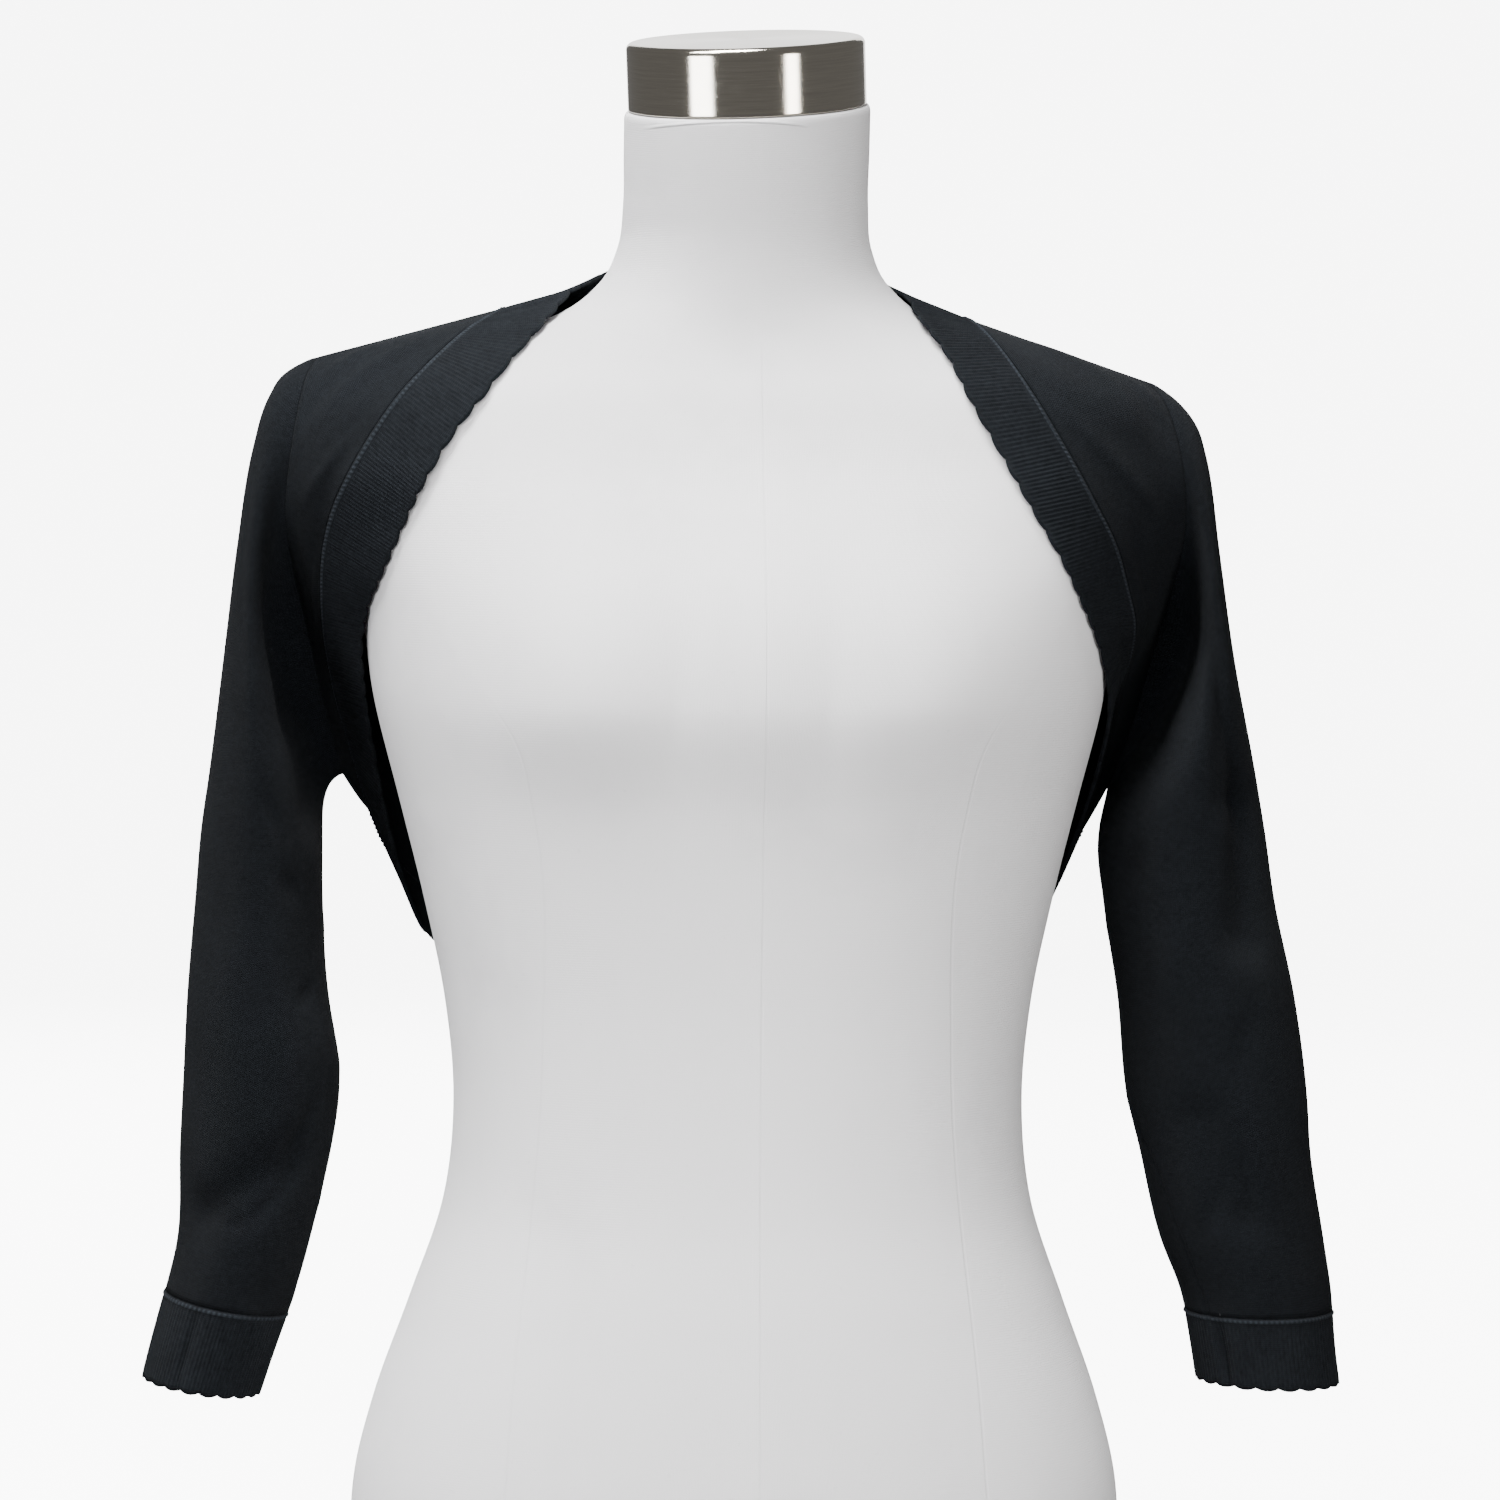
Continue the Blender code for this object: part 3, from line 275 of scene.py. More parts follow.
# Large folds of the sleeves: turn and up of both ends, half width along the cloth, depth (inwards is plus)
SLEEVE_FOLDS = {
    "right": (
        (60, 545, 118, 500, 13, 6), (118, 500, 132, 430, 15, 10), (132, 430, 150, 385, 13, 7),
        (150, 275, 205, 255, 26, -4), (55, 205, 125, 232, 11, 4), (250, 520, 215, 430, 16, 7),
        (300, 330, 235, 290, 14, 4),
    ),
    "left": (
        (70, 540, 112, 495, 12, 6), (120, 480, 138, 420, 15, 9), (78, 470, 62, 395, 11, 6),
        (52, 385, 66, 330, 12, 5), (112, 245, 95, 205, 12, 3), (245, 510, 212, 425, 16, 7),
        (290, 320, 240, 275, 14, 4),
    ),
}

# Smaller creases of the sleeves and cuffs, front ones first, in the same columns
SLEEVE_CREASES = {
    "right": (
        (74, 200, 92, 200, 5, 1.7), (92, 200, 115, 213, 5, 2.1), (115, 213, 132, 229, 5, 1.8),
        (111, 358, 133, 344, 6, 1.9), (131, 306, 141, 298, 7, 1.9), (140, 254, 121, 232, 5, 1.9),
        (62, 318, 76, 262, 7, -0.9), (86, 472, 97, 408, 7, 1.2), (38, 430, 52, 352, 9, -1.1),
        (96, 395, 112, 372, 5, 1.3), (66, 156, 68, 124, 3.5, 1.7), (112, 182, 128, 158, 5, 1.2),
        (215, 425, 262, 396, 6, 1.9), (206, 384, 238, 352, 5, 1.5), (228, 302, 270, 262, 6, 1.8),
        (250, 238, 292, 216, 6, -1.3), (212, 216, 238, 178, 5, 1.5), (298, 470, 320, 398, 7, 1.3),
        (268, 520, 244, 476, 6, 1.6), (330, 300, 312, 238, 7, -1.0), (262, 160, 268, 126, 4, 1.4),
    ),
    "left": (
        (136, 543, 82, 523, 4, 2.6), (112, 522, 84, 458, 5, 2.9), (92, 504, 64, 480, 4.5, 2.6),
        (117, 469, 98, 427, 5, 3.0), (69, 436, 46, 372, 5, 2.6),
        (54, 468, 72, 346, 6, -2.2), (54, 404, 57, 344, 8, 2.4),
        (88, 241, 84, 199, 5, 1.7), (128, 372, 150, 350, 6, 1.6), (110, 330, 132, 296, 7, -1.1),
        (70, 300, 86, 262, 6, 1.3), (104, 218, 122, 196, 5, 1.3), (134, 152, 129, 122, 3.5, 3.0),
        (218, 420, 258, 386, 6, 1.9), (204, 372, 242, 340, 5, 1.6), (232, 296, 276, 268, 6, 1.8),
        (252, 236, 300, 222, 6, -1.3), (214, 212, 242, 186, 5, 1.5), (300, 452, 318, 388, 7, 1.3),
        (262, 510, 240, 462, 6, 1.6), (328, 290, 310, 232, 7, -1.0), (270, 158, 262, 124, 4, 1.4),
    ),
}

# The seam under the arm, from the armhole to the cuff's end: turn, up
UNDERARM_SEAM = {
    "right": ((180, 392), (182, 330), (178, 268), (174, 206), (172, 162), (171, 122)),
    "left": ((180, 389), (181, 330), (176, 252), (152, 219), (143, 190), (142, 167), (140, 147), (131, 124)),
}
UNDERARM_RELIEF = ((1.5, 0.9), (4.5, -0.5))     # half width, depth

# Soft folds of the fronts and the back, in shares of their length and width: both ends, half width, depth
PANEL_FOLDS = {
    "front_right": (
        (0.76, 0.16, 0.90, 0.24, 3.5, 1.5), (0.10, 0.20, 0.26, 0.75, 7, -1.3),
        (0.30, 0.12, 0.42, 0.62, 6, -1.0), (0.46, 0.80, 0.64, 0.45, 6, 0.8),
        (0.56, 0.15, 0.72, 0.30, 5, -0.9), (0.05, 0.62, 0.18, 0.90, 6, -1.0),
    ),
    "front_left": (
        (0.70, 0.14, 0.86, 0.24, 3.5, 1.4), (0.08, 0.25, 0.22, 0.70, 7, -1.2),
        (0.26, 0.10, 0.40, 0.60, 6, -1.1), (0.44, 0.75, 0.60, 0.40, 6, 0.8),
        (0.50, 0.12, 0.68, 0.26, 5, -1.0), (0.06, 0.70, 0.20, 0.92, 6, -0.9),
    ),
    "back": (
        (0.05, 0.26, 0.31, 0.34, 9, -1.7), (0.06, 0.15, 0.34, 0.20, 8, -1.4),
        (0.95, 0.28, 0.68, 0.37, 9, -1.7), (0.94, 0.14, 0.66, 0.18, 8, -1.5),
        (0.12, 0.78, 0.21, 0.47, 9, -1.6), (0.88, 0.80, 0.80, 0.50, 9, -1.5),
        (0.40, 0.93, 0.60, 0.92, 7, -1.1), (0.36, 0.10, 0.62, 0.08, 8, -1.0),
        (0.26, 0.62, 0.30, 0.40, 10, -1.1), (0.75, 0.60, 0.70, 0.38, 10, -1.0),
    ),
}
PANEL_SIZES = dict(front=(290, 62), back=(390, 290))     # mm that the shares are shares of
# Folds of the band: scallop number and share of its width at both ends, half width in mm, depth
BAND_FOLDS = {
    "right": ((30.5, 0.34, 36.0, 0.40, 3.5, 0.9), (18, 0.30, 24, 0.38, 4, -0.5), (44, 0.4, 52, 0.5, 5, -0.6)),
    "left": ((26.4, 0.34, 33.5, 0.30, 3.5, 1.2), (16, 0.30, 21, 0.40, 4, -0.5), (42, 0.5, 50, 0.4, 5, -0.6)),
}
BAND_WIDTH, SCALLOP_PITCH = 30.0, 10.5


def smooth_rows(rows, at):
    """Values between a table's rows: cubic curves whose slope at a row is its neighbours' mean slope."""
    rows = np.asarray(rows, float)
    keys, values = rows[:, 0], rows[:, 1:]
    step = np.diff(keys)[:, None]
    rise = np.diff(values, axis=0) / step
    inner = (step[1:] * rise[:-1] + step[:-1] * rise[1:]) / (step[1:] + step[:-1])
    slope = np.concatenate([rise[:1], inner, rise[-1:]])
    at = np.clip(np.asarray(at, float), keys[0], keys[-1])
    row = np.clip(np.searchsorted(keys, at, side="right") - 1, 0, len(keys) - 2)
    span = step[row, 0][..., None]
    t = (at - keys[row])[..., None] / span
    return ((1 + 2 * t) * (1 - t) ** 2 * values[row] + t * (1 - t) ** 2 * span * slope[row]
            + t * t * (3 - 2 * t) * values[row + 1] + t * t * (t - 1) * span * slope[row + 1])


def along(points, cells):
    """Points at equal steps of length along a smooth curve through the given points."""
    points = np.asarray(points, float)
    lengths = np.linalg.norm(np.diff(points[:, :3], axis=0), axis=1)
    reach = np.concatenate([[0], np.cumsum(lengths)])
    at = np.linspace(0, reach[-1], CURVE_SAMPLES * len(points))
    fine = smooth_rows(np.column_stack([reach, points]), at)
    run = np.concatenate([[0], np.cumsum(np.linalg.norm(np.diff(fine[:, :3], axis=0), axis=1))])
    stops = np.linspace(0, run[-1], cells + 1)
    return np.column_stack([np.interp(stops, run, column) for column in fine.T])


def unit(vectors):
    """The vectors at length 1."""
    return vectors / np.maximum(np.linalg.norm(vectors, axis=-1, keepdims=True), 1e-9)


def soft_step(x):
    """0 below 0, 1 above 1 and a smooth rise between."""
    x = np.clip(x, 0, 1)
    return x * x * (3 - 2 * x)


def both_ends(share, fade):
    """1 in the middle, with a smooth fall to 0 at both ends over the fade's share."""
    return soft_step(share / fade) * soft_step((1 - share) / fade)


def bust(x, z):
    """How far the front of the form stands forward: a soft mound on each side and a bridge between."""
    height = np.where(z > BUST["up"], BUST["rise"], BUST["drop"])
    mound = np.exp(-((np.abs(x) - BUST["out"]) / BUST["width"]) ** 2)
    bridge = BUST_BRIDGE["share"] * np.exp(-(x / BUST_BRIDGE["width"]) ** 2)
    return BUST["reach"] * np.maximum(mound, bridge) * np.exp(-((z - BUST["up"]) / height) ** 2)


def form_level(points):
    """Below 0 inside the form, 0 on it and above 0 outside: the superellipse of the section at z."""
    x, y, z = np.moveaxis(points, -1, 0)
    half, front, back, middle, square = np.moveaxis(smooth_rows(FORM_SECTIONS, z), -1, 0)
    depth = np.where(y < middle, front + middle + bust(x, z), back - middle)
    share = (np.abs(x) / half) ** square + (np.abs(y - middle) / depth) ** square
    return share ** (1 / square) - 1


def off_form(points):
    """Each point's distance from the form and the direction away from it, from the level's slope."""
    probe = np.eye(3) * PROBE
    slope = np.stack([form_level(points + d) - form_level(points - d) for d in probe], -1)
    steepness = np.linalg.norm(slope, axis=-1)
    return form_level(points) / steepness, slope / steepness[..., None]


def clear_of_form(points, least=SEAM_OFF_FORM):
    """Points nearer to the form than the least distance are moved straight out to it."""
    for _ in range(CLEARING_ROUNDS):
        distance, outward = off_form(points)
        points = points + np.maximum(least - distance, 0)[..., None] * outward
    return points


def sided(points, side):
    """Table columns (out, back, up) as x, y, z: the wearer's right is at -X."""
    points = np.array(points, float)
    points[..., 0] *= 1 if side == "left" else -1
    return points


def band_rows(side):
    """The band's seam and scalloped edge at every fine cell."""
    stretches = [along(BAND[side][part], count * BAND_FINE) for part, count in BAND_SCALLOPS.items()]
    whole = np.concatenate([stretches[0]] + [s[1:] for s in stretches[1:]])
    return [clear_of_form(sided(columns, side)) for columns in (whole[:, :3], whole[:, 3:])]


def band_part(part):
    """First and last fine cell of one stretch of the band."""
    names = list(BAND_SCALLOPS)
    start = sum(BAND_SCALLOPS[n] for n in names[:names.index(part)])
    return start * BAND_FINE, (start + BAND_SCALLOPS[part]) * BAND_FINE


def bells(rows, x, y, taper=0.0):
    """The sum of soft troughs: each a bell across a line between two places, shallower at its ends."""
    depth = np.zeros(np.broadcast(x, y).shape)
    for ax, ay, bx, by, wide, deep in rows:
        run, rise = bx - ax, by - ay
        inside = np.clip(((x - ax) * run + (y - ay) * rise) / (run ** 2 + rise ** 2), 0, 1)
        away = np.hypot(x - ax - inside * run, y - ay - inside * rise)
        depth = depth + deep * (1 - taper + taper * np.sin(np.pi * inside)) * np.exp(-(away / wide) ** 2)
    return depth


def fold_depth(side, turn, up):
    """Folds, creases and the underarm seam of a sleeve, with turns made lengths by one radius.

    The seam is a groove with a low swell on both sides.
    """
    def lengths(rows):
        return [(np.radians(a) * SLEEVE_GIRTH, up_a, np.radians(b) * SLEEVE_GIRTH, up_b, wide, deep)
                for a, up_a, b, up_b, wide, deep in rows]

    x = np.radians(turn) * SLEEVE_GIRTH
    line = UNDERARM_SEAM[side]
    sewn = [(*start, *end, *relief) for relief in UNDERARM_RELIEF for start, end in zip(line[:-1], line[1:])]
    return (bells(lengths(SLEEVE_FOLDS[side]), x, up)
            + bells(lengths(SLEEVE_CREASES[side]), x, up, CREASE_TAPER)
            + bells(lengths(sewn), x, up, SEAM_TAPER))


def sleeve_section(side, turn, up):
    """The point of the sleeve's horizontal oval at a turn and a height."""
    outer, inner, middle, deep = np.moveaxis(smooth_rows(SLEEVE[side], up), -1, 0)
    angle = np.radians(turn)
    centre = np.stack([(outer + inner) / 2, middle], -1)
    spoke = np.stack([(outer - inner) / 2 * np.cos(angle), -deep * np.sin(angle)], -1)
    flat = centre + spoke - unit(spoke) * fold_depth(side, turn, up)[..., None]
    return sided(np.concatenate([flat, np.broadcast_to(up, angle.shape)[..., None]], -1), side)


def tilted(turn, level):
    """Height of a tilted ring at a turn: level is its middle and the drop from outer to inner line."""
    middle, drop = level
    return middle + drop / 2 * np.cos(np.radians(turn))


def sleeve_grid(side, turns, hole):
    """Rings from the armhole to the cuff.

    A ring leaves the armhole's line outwards first, then back and down, and ends on the level ovals.
    At the shoulder tip it reaches the oval's outline at once.
    """
    last = tilted(turns, SLEEVE_CUFFS[side]["seam"])
    outwards = 1 if side == "left" else -1
    from_tip = np.minimum(turns, 360 - turns)
    haste = SLOW + QUICK * np.exp(-(from_tip / TIP_SPREAD) ** 2)
    swing = sum(reach * np.exp(-((turns - centre) / spread) ** 2) for centre, spread, reach in UNDERARM_SWING)
    rings = []
    for step in np.linspace(0, 1, SLEEVE_RINGS + 1):
        up = hole[:, 2] + (last - hole[:, 2]) * step ** RING_EASE
        out_share = 1 - (1 - min(step / OUT_BY, 1)) ** haste
        back_share = np.sin(np.pi / 2 * min(step / BACK_BY, 1)) ** 2
        oval = sleeve_section(side, turns, up)
        swung = outwards * swing * 4 * out_share * (1 - out_share)
        x = hole[:, 0] + (oval[:, 0] - hole[:, 0]) * out_share + swung
        y = hole[:, 1] + (oval[:, 1] - hole[:, 1]) * back_share
        rings.append(np.column_stack([x, y, up]))
    return np.array(rings)


def patch(bottom, top, left, right, fade=1):
    """A grid between four edges: straight from bottom to top, bent to the sides as far as fade lets it."""
    u = np.linspace(0, 1, len(bottom))[None, :, None]
    v = np.linspace(0, 1, len(left))[:, None, None]
    rows = (1 - v) * bottom[None] + v * top[None]
    return (rows + (1 - u) ** fade * (left[:, None] - rows[:, :1])
            + u ** fade * (right[:, None] - rows[:, -1:]))


def taut(grid, rounds):
    """The grid with its inner points pulled to their neighbours' mean, as stretched knit, off the form."""
    for _ in range(rounds):
        mean = (grid[:-2, 1:-1] + grid[2:, 1:-1] + grid[1:-1, :-2] + grid[1:-1, 2:]) / 4
        grid[1:-1, 1:-1] = clear_of_form(mean, CLOTH_OFF_FORM)
    return grid


def refined(grid, fine=FINE):
    """A grid with fine cells inside each of its own, on cubic curves through its points both ways."""
    for axis in (0, 1):
        rows = np.moveaxis(grid, axis, 0)
        flat = rows.reshape(len(rows), -1)
        at = np.arange(fine * (len(rows) - 1) + 1) / fine
        table = np.column_stack([np.arange(len(rows)), flat])
        grid = np.moveaxis(smooth_rows(table, at).reshape(len(at), *rows.shape[1:]), 0, axis)
    return grid


def fitted(grid, bottom, top, left, right):
    """The grid moved on to its exact edges: each edge's miss fades out linearly to the opposite edge."""
    v = np.linspace(0, 1, len(grid))[:, None, None]
    u = np.linspace(0, 1, grid.shape[1])[None, :, None]
    low, high = bottom - grid[0], top - grid[-1]
    near, far = left - grid[:, 0], right - grid[:, -1]
    corners = ((1 - u) * (1 - v) * low[0] + u * (1 - v) * low[-1]
               + (1 - u) * v * high[0] + u * v * high[-1])
    return (grid + (1 - v) * low[None] + v * high[None]
            + (1 - u) * near[:, None] + u * far[:, None] - corners)


def grid_normals(grid, closed=False):
    """Unit normals of a grid from the slopes along and across it."""
    down = np.gradient(grid, axis=0)
    if closed:
        ring = np.concatenate([grid[:, -2:-1], grid, grid[:, 1:2]], axis=1)
        side = (ring[:, 2:] - ring[:, :-2]) / 2
    else:
        side = np.gradient(grid, axis=1)
    return unit(np.cross(side, down))


class Panel:
    """One piece of cloth: a grid of points in the middle of the knit, and half its thickness at each."""

    def __init__(self, grid, outward, closed=False):
        self.grid = grid
        normals = grid_normals(grid, closed)
        self.normals = normals * np.sign(np.sum(normals * outward))
        self.half = self.normals * WALL / 2
        self.shift = np.zeros_like(grid)

    def meet(self, where, half, shift):
        """Take a seam's shared edge: its half thickness, and its share of the gap."""
        self.half[where] = half
        self.shift[where] += shift

    def walls(self):
        """Outer and inner face."""
        middle = self.grid + self.shift
        return middle + self.half, middle - self.half


def seam(line, first, second):
    """The shared edge of two pieces, mitred: half thickness on it, and half the gap towards the second.

    Each piece is given as its normals on the line and its next row of points.
    """
    (normal_a, next_a), (normal_b, next_b) = first, second
    middle = unit(normal_a + normal_b)
    closeness = np.clip(np.sum(normal_a * middle, -1), SHARPEST_MITRE, 1)
    half = middle * (WALL / 2 / closeness)[:, None]
    across = unit(np.cross(middle, np.gradient(line, axis=0)))
    towards = np.sign(np.sum(across * (unit(next_b - line) - unit(next_a - line))))
    return half, across * towards * SEAM_GAP / 2


def finer(row, per):
    """A row with evenly spaced points added between its own."""
    at = np.arange(len(row))
    fine = np.linspace(0, len(row) - 1, per * (len(row) - 1) + 1)
    return np.column_stack([np.interp(fine, at, column) for column in row.T])


def body_side(side):
    """The seam lines of one side of the body, at fine cells."""
    band_seam, edge = band_rows(side)
    cells = BAND_SCALLOPS["front"] // 2 * FINE
    back_cells = BACK_ARMHOLE_CELLS * FINE
    turns = np.concatenate([np.linspace(0, 180, cells + 1), np.linspace(180, 360, back_cells + 1)[1:]])
    hole = clear_of_form(sided(smooth_rows(ARMHOLE[side], turns), side))
    steps = np.linspace(0, 1, SHOULDER_CELLS * FINE + 1)[:, None]
    first, last = band_part("front")
    shoulder = clear_of_form(band_seam[first] * (1 - steps) + hole[0] * steps)
    under = clear_of_form(band_seam[last] * (1 - steps) + hole[cells] * steps)
    return dict(seam=band_seam, edge=edge, turns=turns, hole=hole, shoulder=shoulder, under=under,
                cells=cells)


BODY_STRIDE = 2 * BAND_FINE // FINE     # fine cells of the band for one of the body


def draped(grid, outward, rows, size):
    """A panel's grid with its soft folds, which fade out towards its edges."""
    v = np.linspace(0, 1, len(grid))[:, None]
    u = np.linspace(0, 1, grid.shape[1])[None]
    width, height = size
    lengths = [(a * width, b * height, c * width, d * height, wide, deep) for a, b, c, d, wide, deep in rows]
    depth = bells(lengths, u * width, v * height, CREASE_TAPER)
    fade = both_ends(u, SIDE_FADE) * both_ends(v, END_FADE)
    return grid - outward * (depth * fade)[..., None]


def front_panel(lines, side):
    """A front: from the band's seam (first row) out to the armhole (last row)."""
    first, last = band_part("front")
    edges = [lines["seam"][first:last + 1:BODY_STRIDE], lines["hole"][:lines["cells"] + 1],
             lines["shoulder"], lines["under"]]
    grid = patch(*(e[::FINE] for e in edges))
    bow = np.sin(np.pi * np.linspace(0, 1, SHOULDER_CELLS + 1))[:, None, None]
    width = np.linalg.norm(grid[-1] - grid[0], axis=-1)[None, :, None]
    bowed = grid + FRONT_BOW * width * bow * off_form(grid)[1]
    grid[1:-1, 1:-1] = bowed[1:-1, 1:-1]
    grid = fitted(refined(taut(grid, FRONT_ROUNDS)), *edges)
    grid = draped(grid, off_form(grid)[1], PANEL_FOLDS["front_" + side], PANEL_SIZES["front"])
    return Panel(grid, off_form(grid)[1])


def back_panel(lines):
    """The back: from the hem's seam (first row) up to the shoulders and neck (last row), -X to +X."""
    hem_first, hem_last = band_part("hem")
    neck_first, neck_last = band_part("neck")
    right, left = lines["right"], lines["left"]
    bottom = np.concatenate([right["seam"][hem_first:hem_last + 1:BODY_STRIDE],
                             left["seam"][hem_first:hem_last:BODY_STRIDE][::-1]])
    top = np.concatenate([right["shoulder"][::-1], right["seam"][neck_first:neck_last:BODY_STRIDE][::-1],
                          left["seam"][neck_first:neck_last + 1:BODY_STRIDE][1:], left["shoulder"][1:]])
    sides = [np.concatenate([s["under"], s["hole"][s["cells"] + 1:]]) for s in (right, left)]
    edges = [bottom, top, *sides]
    grid = taut(patch(*(e[::FINE] for e in edges), fade=BACK_FADE), BACK_ROUNDS)
    grid = fitted(refined(grid), *edges)
    grid = draped(grid, off_form(grid)[1], PANEL_FOLDS["back"], PANEL_SIZES["back"])
    return Panel(grid, off_form(grid)[1])


def rim_swell(count, fine):
    """How far a scalloped edge is rounded out at each fine cell: a half sine over every scallop."""
    at = np.arange(count * fine + 1) / fine
    return np.abs(np.sin(np.pi * at)) ** SCALLOP_ROUNDING * SCALLOP_DEPTH


def across_band(first, middle, last, rows, swell):
    """A grid from a seam to a scalloped edge: a quadratic curve through three rows of points.

    Its last part is drawn out by the scallops' swell, which fades in over the rim.
    """
    v = np.array(rows)[:, None, None]
    grid = first * (1 - v) * (1 - 2 * v) + middle * 4 * v * (1 - v) + last * v * (2 * v - 1)
    width = np.linalg.norm(last - first, axis=-1)
    rim = soft_step((v[..., 0] - 1) * width[None] / EDGE_ROLL + 1)
    return grid + unit(last - middle)[None] * (swell * rim)[..., None]


def band_panel(lines, side):
    """Half the band, from its seam to the scalloped edge, with its own folds."""
    middle = clear_of_form((lines["seam"] + lines["edge"]) / 2)
    swell = rim_swell(sum(BAND_SCALLOPS.values()), BAND_FINE)
    grid = across_band(lines["seam"], middle, lines["edge"], BAND_ROWS, swell)
    rows = [(a * SCALLOP_PITCH, b * BAND_WIDTH, c * SCALLOP_PITCH, d * BAND_WIDTH, wide, deep)
            for a, b, c, d, wide, deep in BAND_FOLDS[side]]
    at = np.arange(grid.shape[1])[None] / BAND_FINE * SCALLOP_PITCH
    across = np.array(BAND_ROWS)[:, None]
    depth = bells(rows, at, across * BAND_WIDTH, CREASE_TAPER) * both_ends(across, BAND_FADE)
    grid = grid - off_form(grid)[1] * depth[..., None]
    return Panel(clear_of_form(grid, BAND_OFF_FORM), off_form(grid)[1])


def cuff_panel(side):
    """A cuff: a tube from its seam to its scalloped end."""
    turns = np.linspace(0, 360, CUFF_SCALLOPS * CUFF_FINE + 1)
    cuff = SLEEVE_CUFFS[side]
    rings = []
    for share in (0, 0.5, 1):
        level = [a + (b - a) * share for a, b in zip(cuff["seam"], cuff["end"])]
        rings.append(sleeve_section(side, turns, tilted(turns, level)))
    grid = across_band(*rings, CUFF_ROWS, rim_swell(CUFF_SCALLOPS, CUFF_FINE))
    return Panel(grid, grid - grid[:, :-1].mean(axis=1, keepdims=True), closed=True)


def sleeve_panel(side, lines):
    """A sleeve: rings from the armhole down to the cuff."""
    grid = sleeve_grid(side, lines["turns"], lines["hole"])
    return Panel(grid, grid - grid[:, :-1].mean(axis=1, keepdims=True), closed=True)


def join(line, first, second):
    """Give two panels their shared edge. Each comes with its places on the line and in its next row."""
    sides = [(panel.normals[on], panel.grid[beside]) for panel, on, beside in (first, second)]
    half, gap = seam(line, *sides)
    first[0].meet(first[1], half, -gap)
    second[0].meet(second[1], half, gap)


def sew(panels, lines):
    """Give every seam its shared edge."""
    back = panels["back"]
    mirror = back.grid.shape[1] - 1
    cells_up = SHOULDER_CELLS * FINE
    rows, up = np.arange(cells_up + 1), np.arange(cells_up, back.grid.shape[0])
    for side, column, inwards in (("right", 0, 1), ("left", -1, -1)):
        front, sleeve, band, cuff = (panels[part + side] for part in ("front_", "sleeve_", "band_", "cuff_"))
        line, cells = lines[side], lines[side]["cells"]
        shoulder, neck, hem = (mirror - c if side == "left" else c for c in (
            rows[::-1], np.arange(mirror // 2, cells_up - 1, -1), np.arange(mirror // 2 + 1)))
        join(line["shoulder"], (front, np.s_[:, 0], np.s_[:, 1]), (back, (-1, shoulder), (-2, shoulder)))
        join(line["under"], (front, np.s_[:, -1], np.s_[:, -2]),
             (back, (rows, column), (rows, column + inwards)))

        normals = np.concatenate([front.normals[-1], back.normals[up[1:], column]])
        nexts = np.concatenate([front.grid[-2], back.grid[up[1:], column + inwards]])
        normals[cells] = unit(front.normals[-1, -1] + back.normals[up[0], column])
        normals[[0, -1]] = unit(front.normals[-1, 0] + back.normals[-1, column])
        half, gap = seam(line["hole"], (normals, nexts), (sleeve.normals[0], sleeve.grid[1]))
        half[-1], gap[-1] = half[0], gap[0]
        front.meet(np.s_[-1, :], half[:cells + 1], -gap[:cells + 1])
        back.meet((up, column), half[cells:], -gap[cells:])
        sleeve.meet(np.s_[0], half, gap)
        sleeve.shift[-1] += unit(sleeve.grid[-2] - sleeve.grid[-1]) * SEAM_GAP / 2
        cuff.shift[0] += unit(cuff.grid[2] - cuff.grid[0]) * SEAM_GAP / 2

        for part, body, row, next_row, columns in (
                ("neck", back, -1, -2, neck), ("front", front, 0, 1, np.arange(front.grid.shape[1])),
                ("hem", back, 0, 1, hem)):
            first, last = band_part(part)
            here = np.s_[0, first:last + 1]
            half, gap = seam(line["seam"][here[1]], (band.normals[here], band.grid[2, here[1]]),
                             (unit(finer(body.normals[row, columns], BODY_STRIDE)),
                              finer(body.grid[next_row, columns], BODY_STRIDE)))
            band.half[here], band.shift[here] = half, -gap
            body.meet((row, columns), half[::BODY_STRIDE], gap[::BODY_STRIDE])


def knitted_relief(panel, rows_at, scallops, fine, ribs):
    """Ribs across a band and the chain of linking stitches beside its seam.

    A rib's height is a cosine along the band, which starts past the stitches and fades before the
    rim. The chain is a low cord with a slanting bulge for every stitch.
    """
    distance = np.linalg.norm(panel.grid[-1] - panel.grid[0], axis=-1)
    at = np.arange(scallops * fine + 1)[None] / fine
    lengths = np.linalg.norm(np.diff(panel.grid[0], axis=0), axis=1)
    run = np.concatenate([[0], np.cumsum(lengths)])[None]
    from_seam = np.array(rows_at)[:, None] * distance[None]
    to_edge = distance[None] - from_seam
    rib = np.cos(2 * np.pi * at * ribs) * RIB["height"] * soft_step((from_seam - RIB["start"]) / RIB["fade"])
    rib = rib * (RIB["at_rim"] + (1 - RIB["at_rim"]) * soft_step(to_edge / RIB["rim"]))
    across = (from_seam - LINKING["at"]) / LINKING["half"]
    swing = (1 - LINKING["least"]) / 2
    bulge = 1 - swing + swing * np.cos(2 * np.pi * run / LINKING["stitch"] + LINKING["slant"] * across)
    chain = LINKING["height"] * np.exp(-across ** 2) * bulge
    return rib + chain - LINKING["groove"] * np.exp(-(from_seam / LINKING["groove_half"]) ** 2)


def worked(panel, relief):
    """The panel's faces, raised by the relief outside and by the part of it that shows through inside."""
    outer, inner = panel.walls()
    raised = unit(panel.half) * relief[..., None]
    return outer + raised, inner + raised * SHOWS_THROUGH


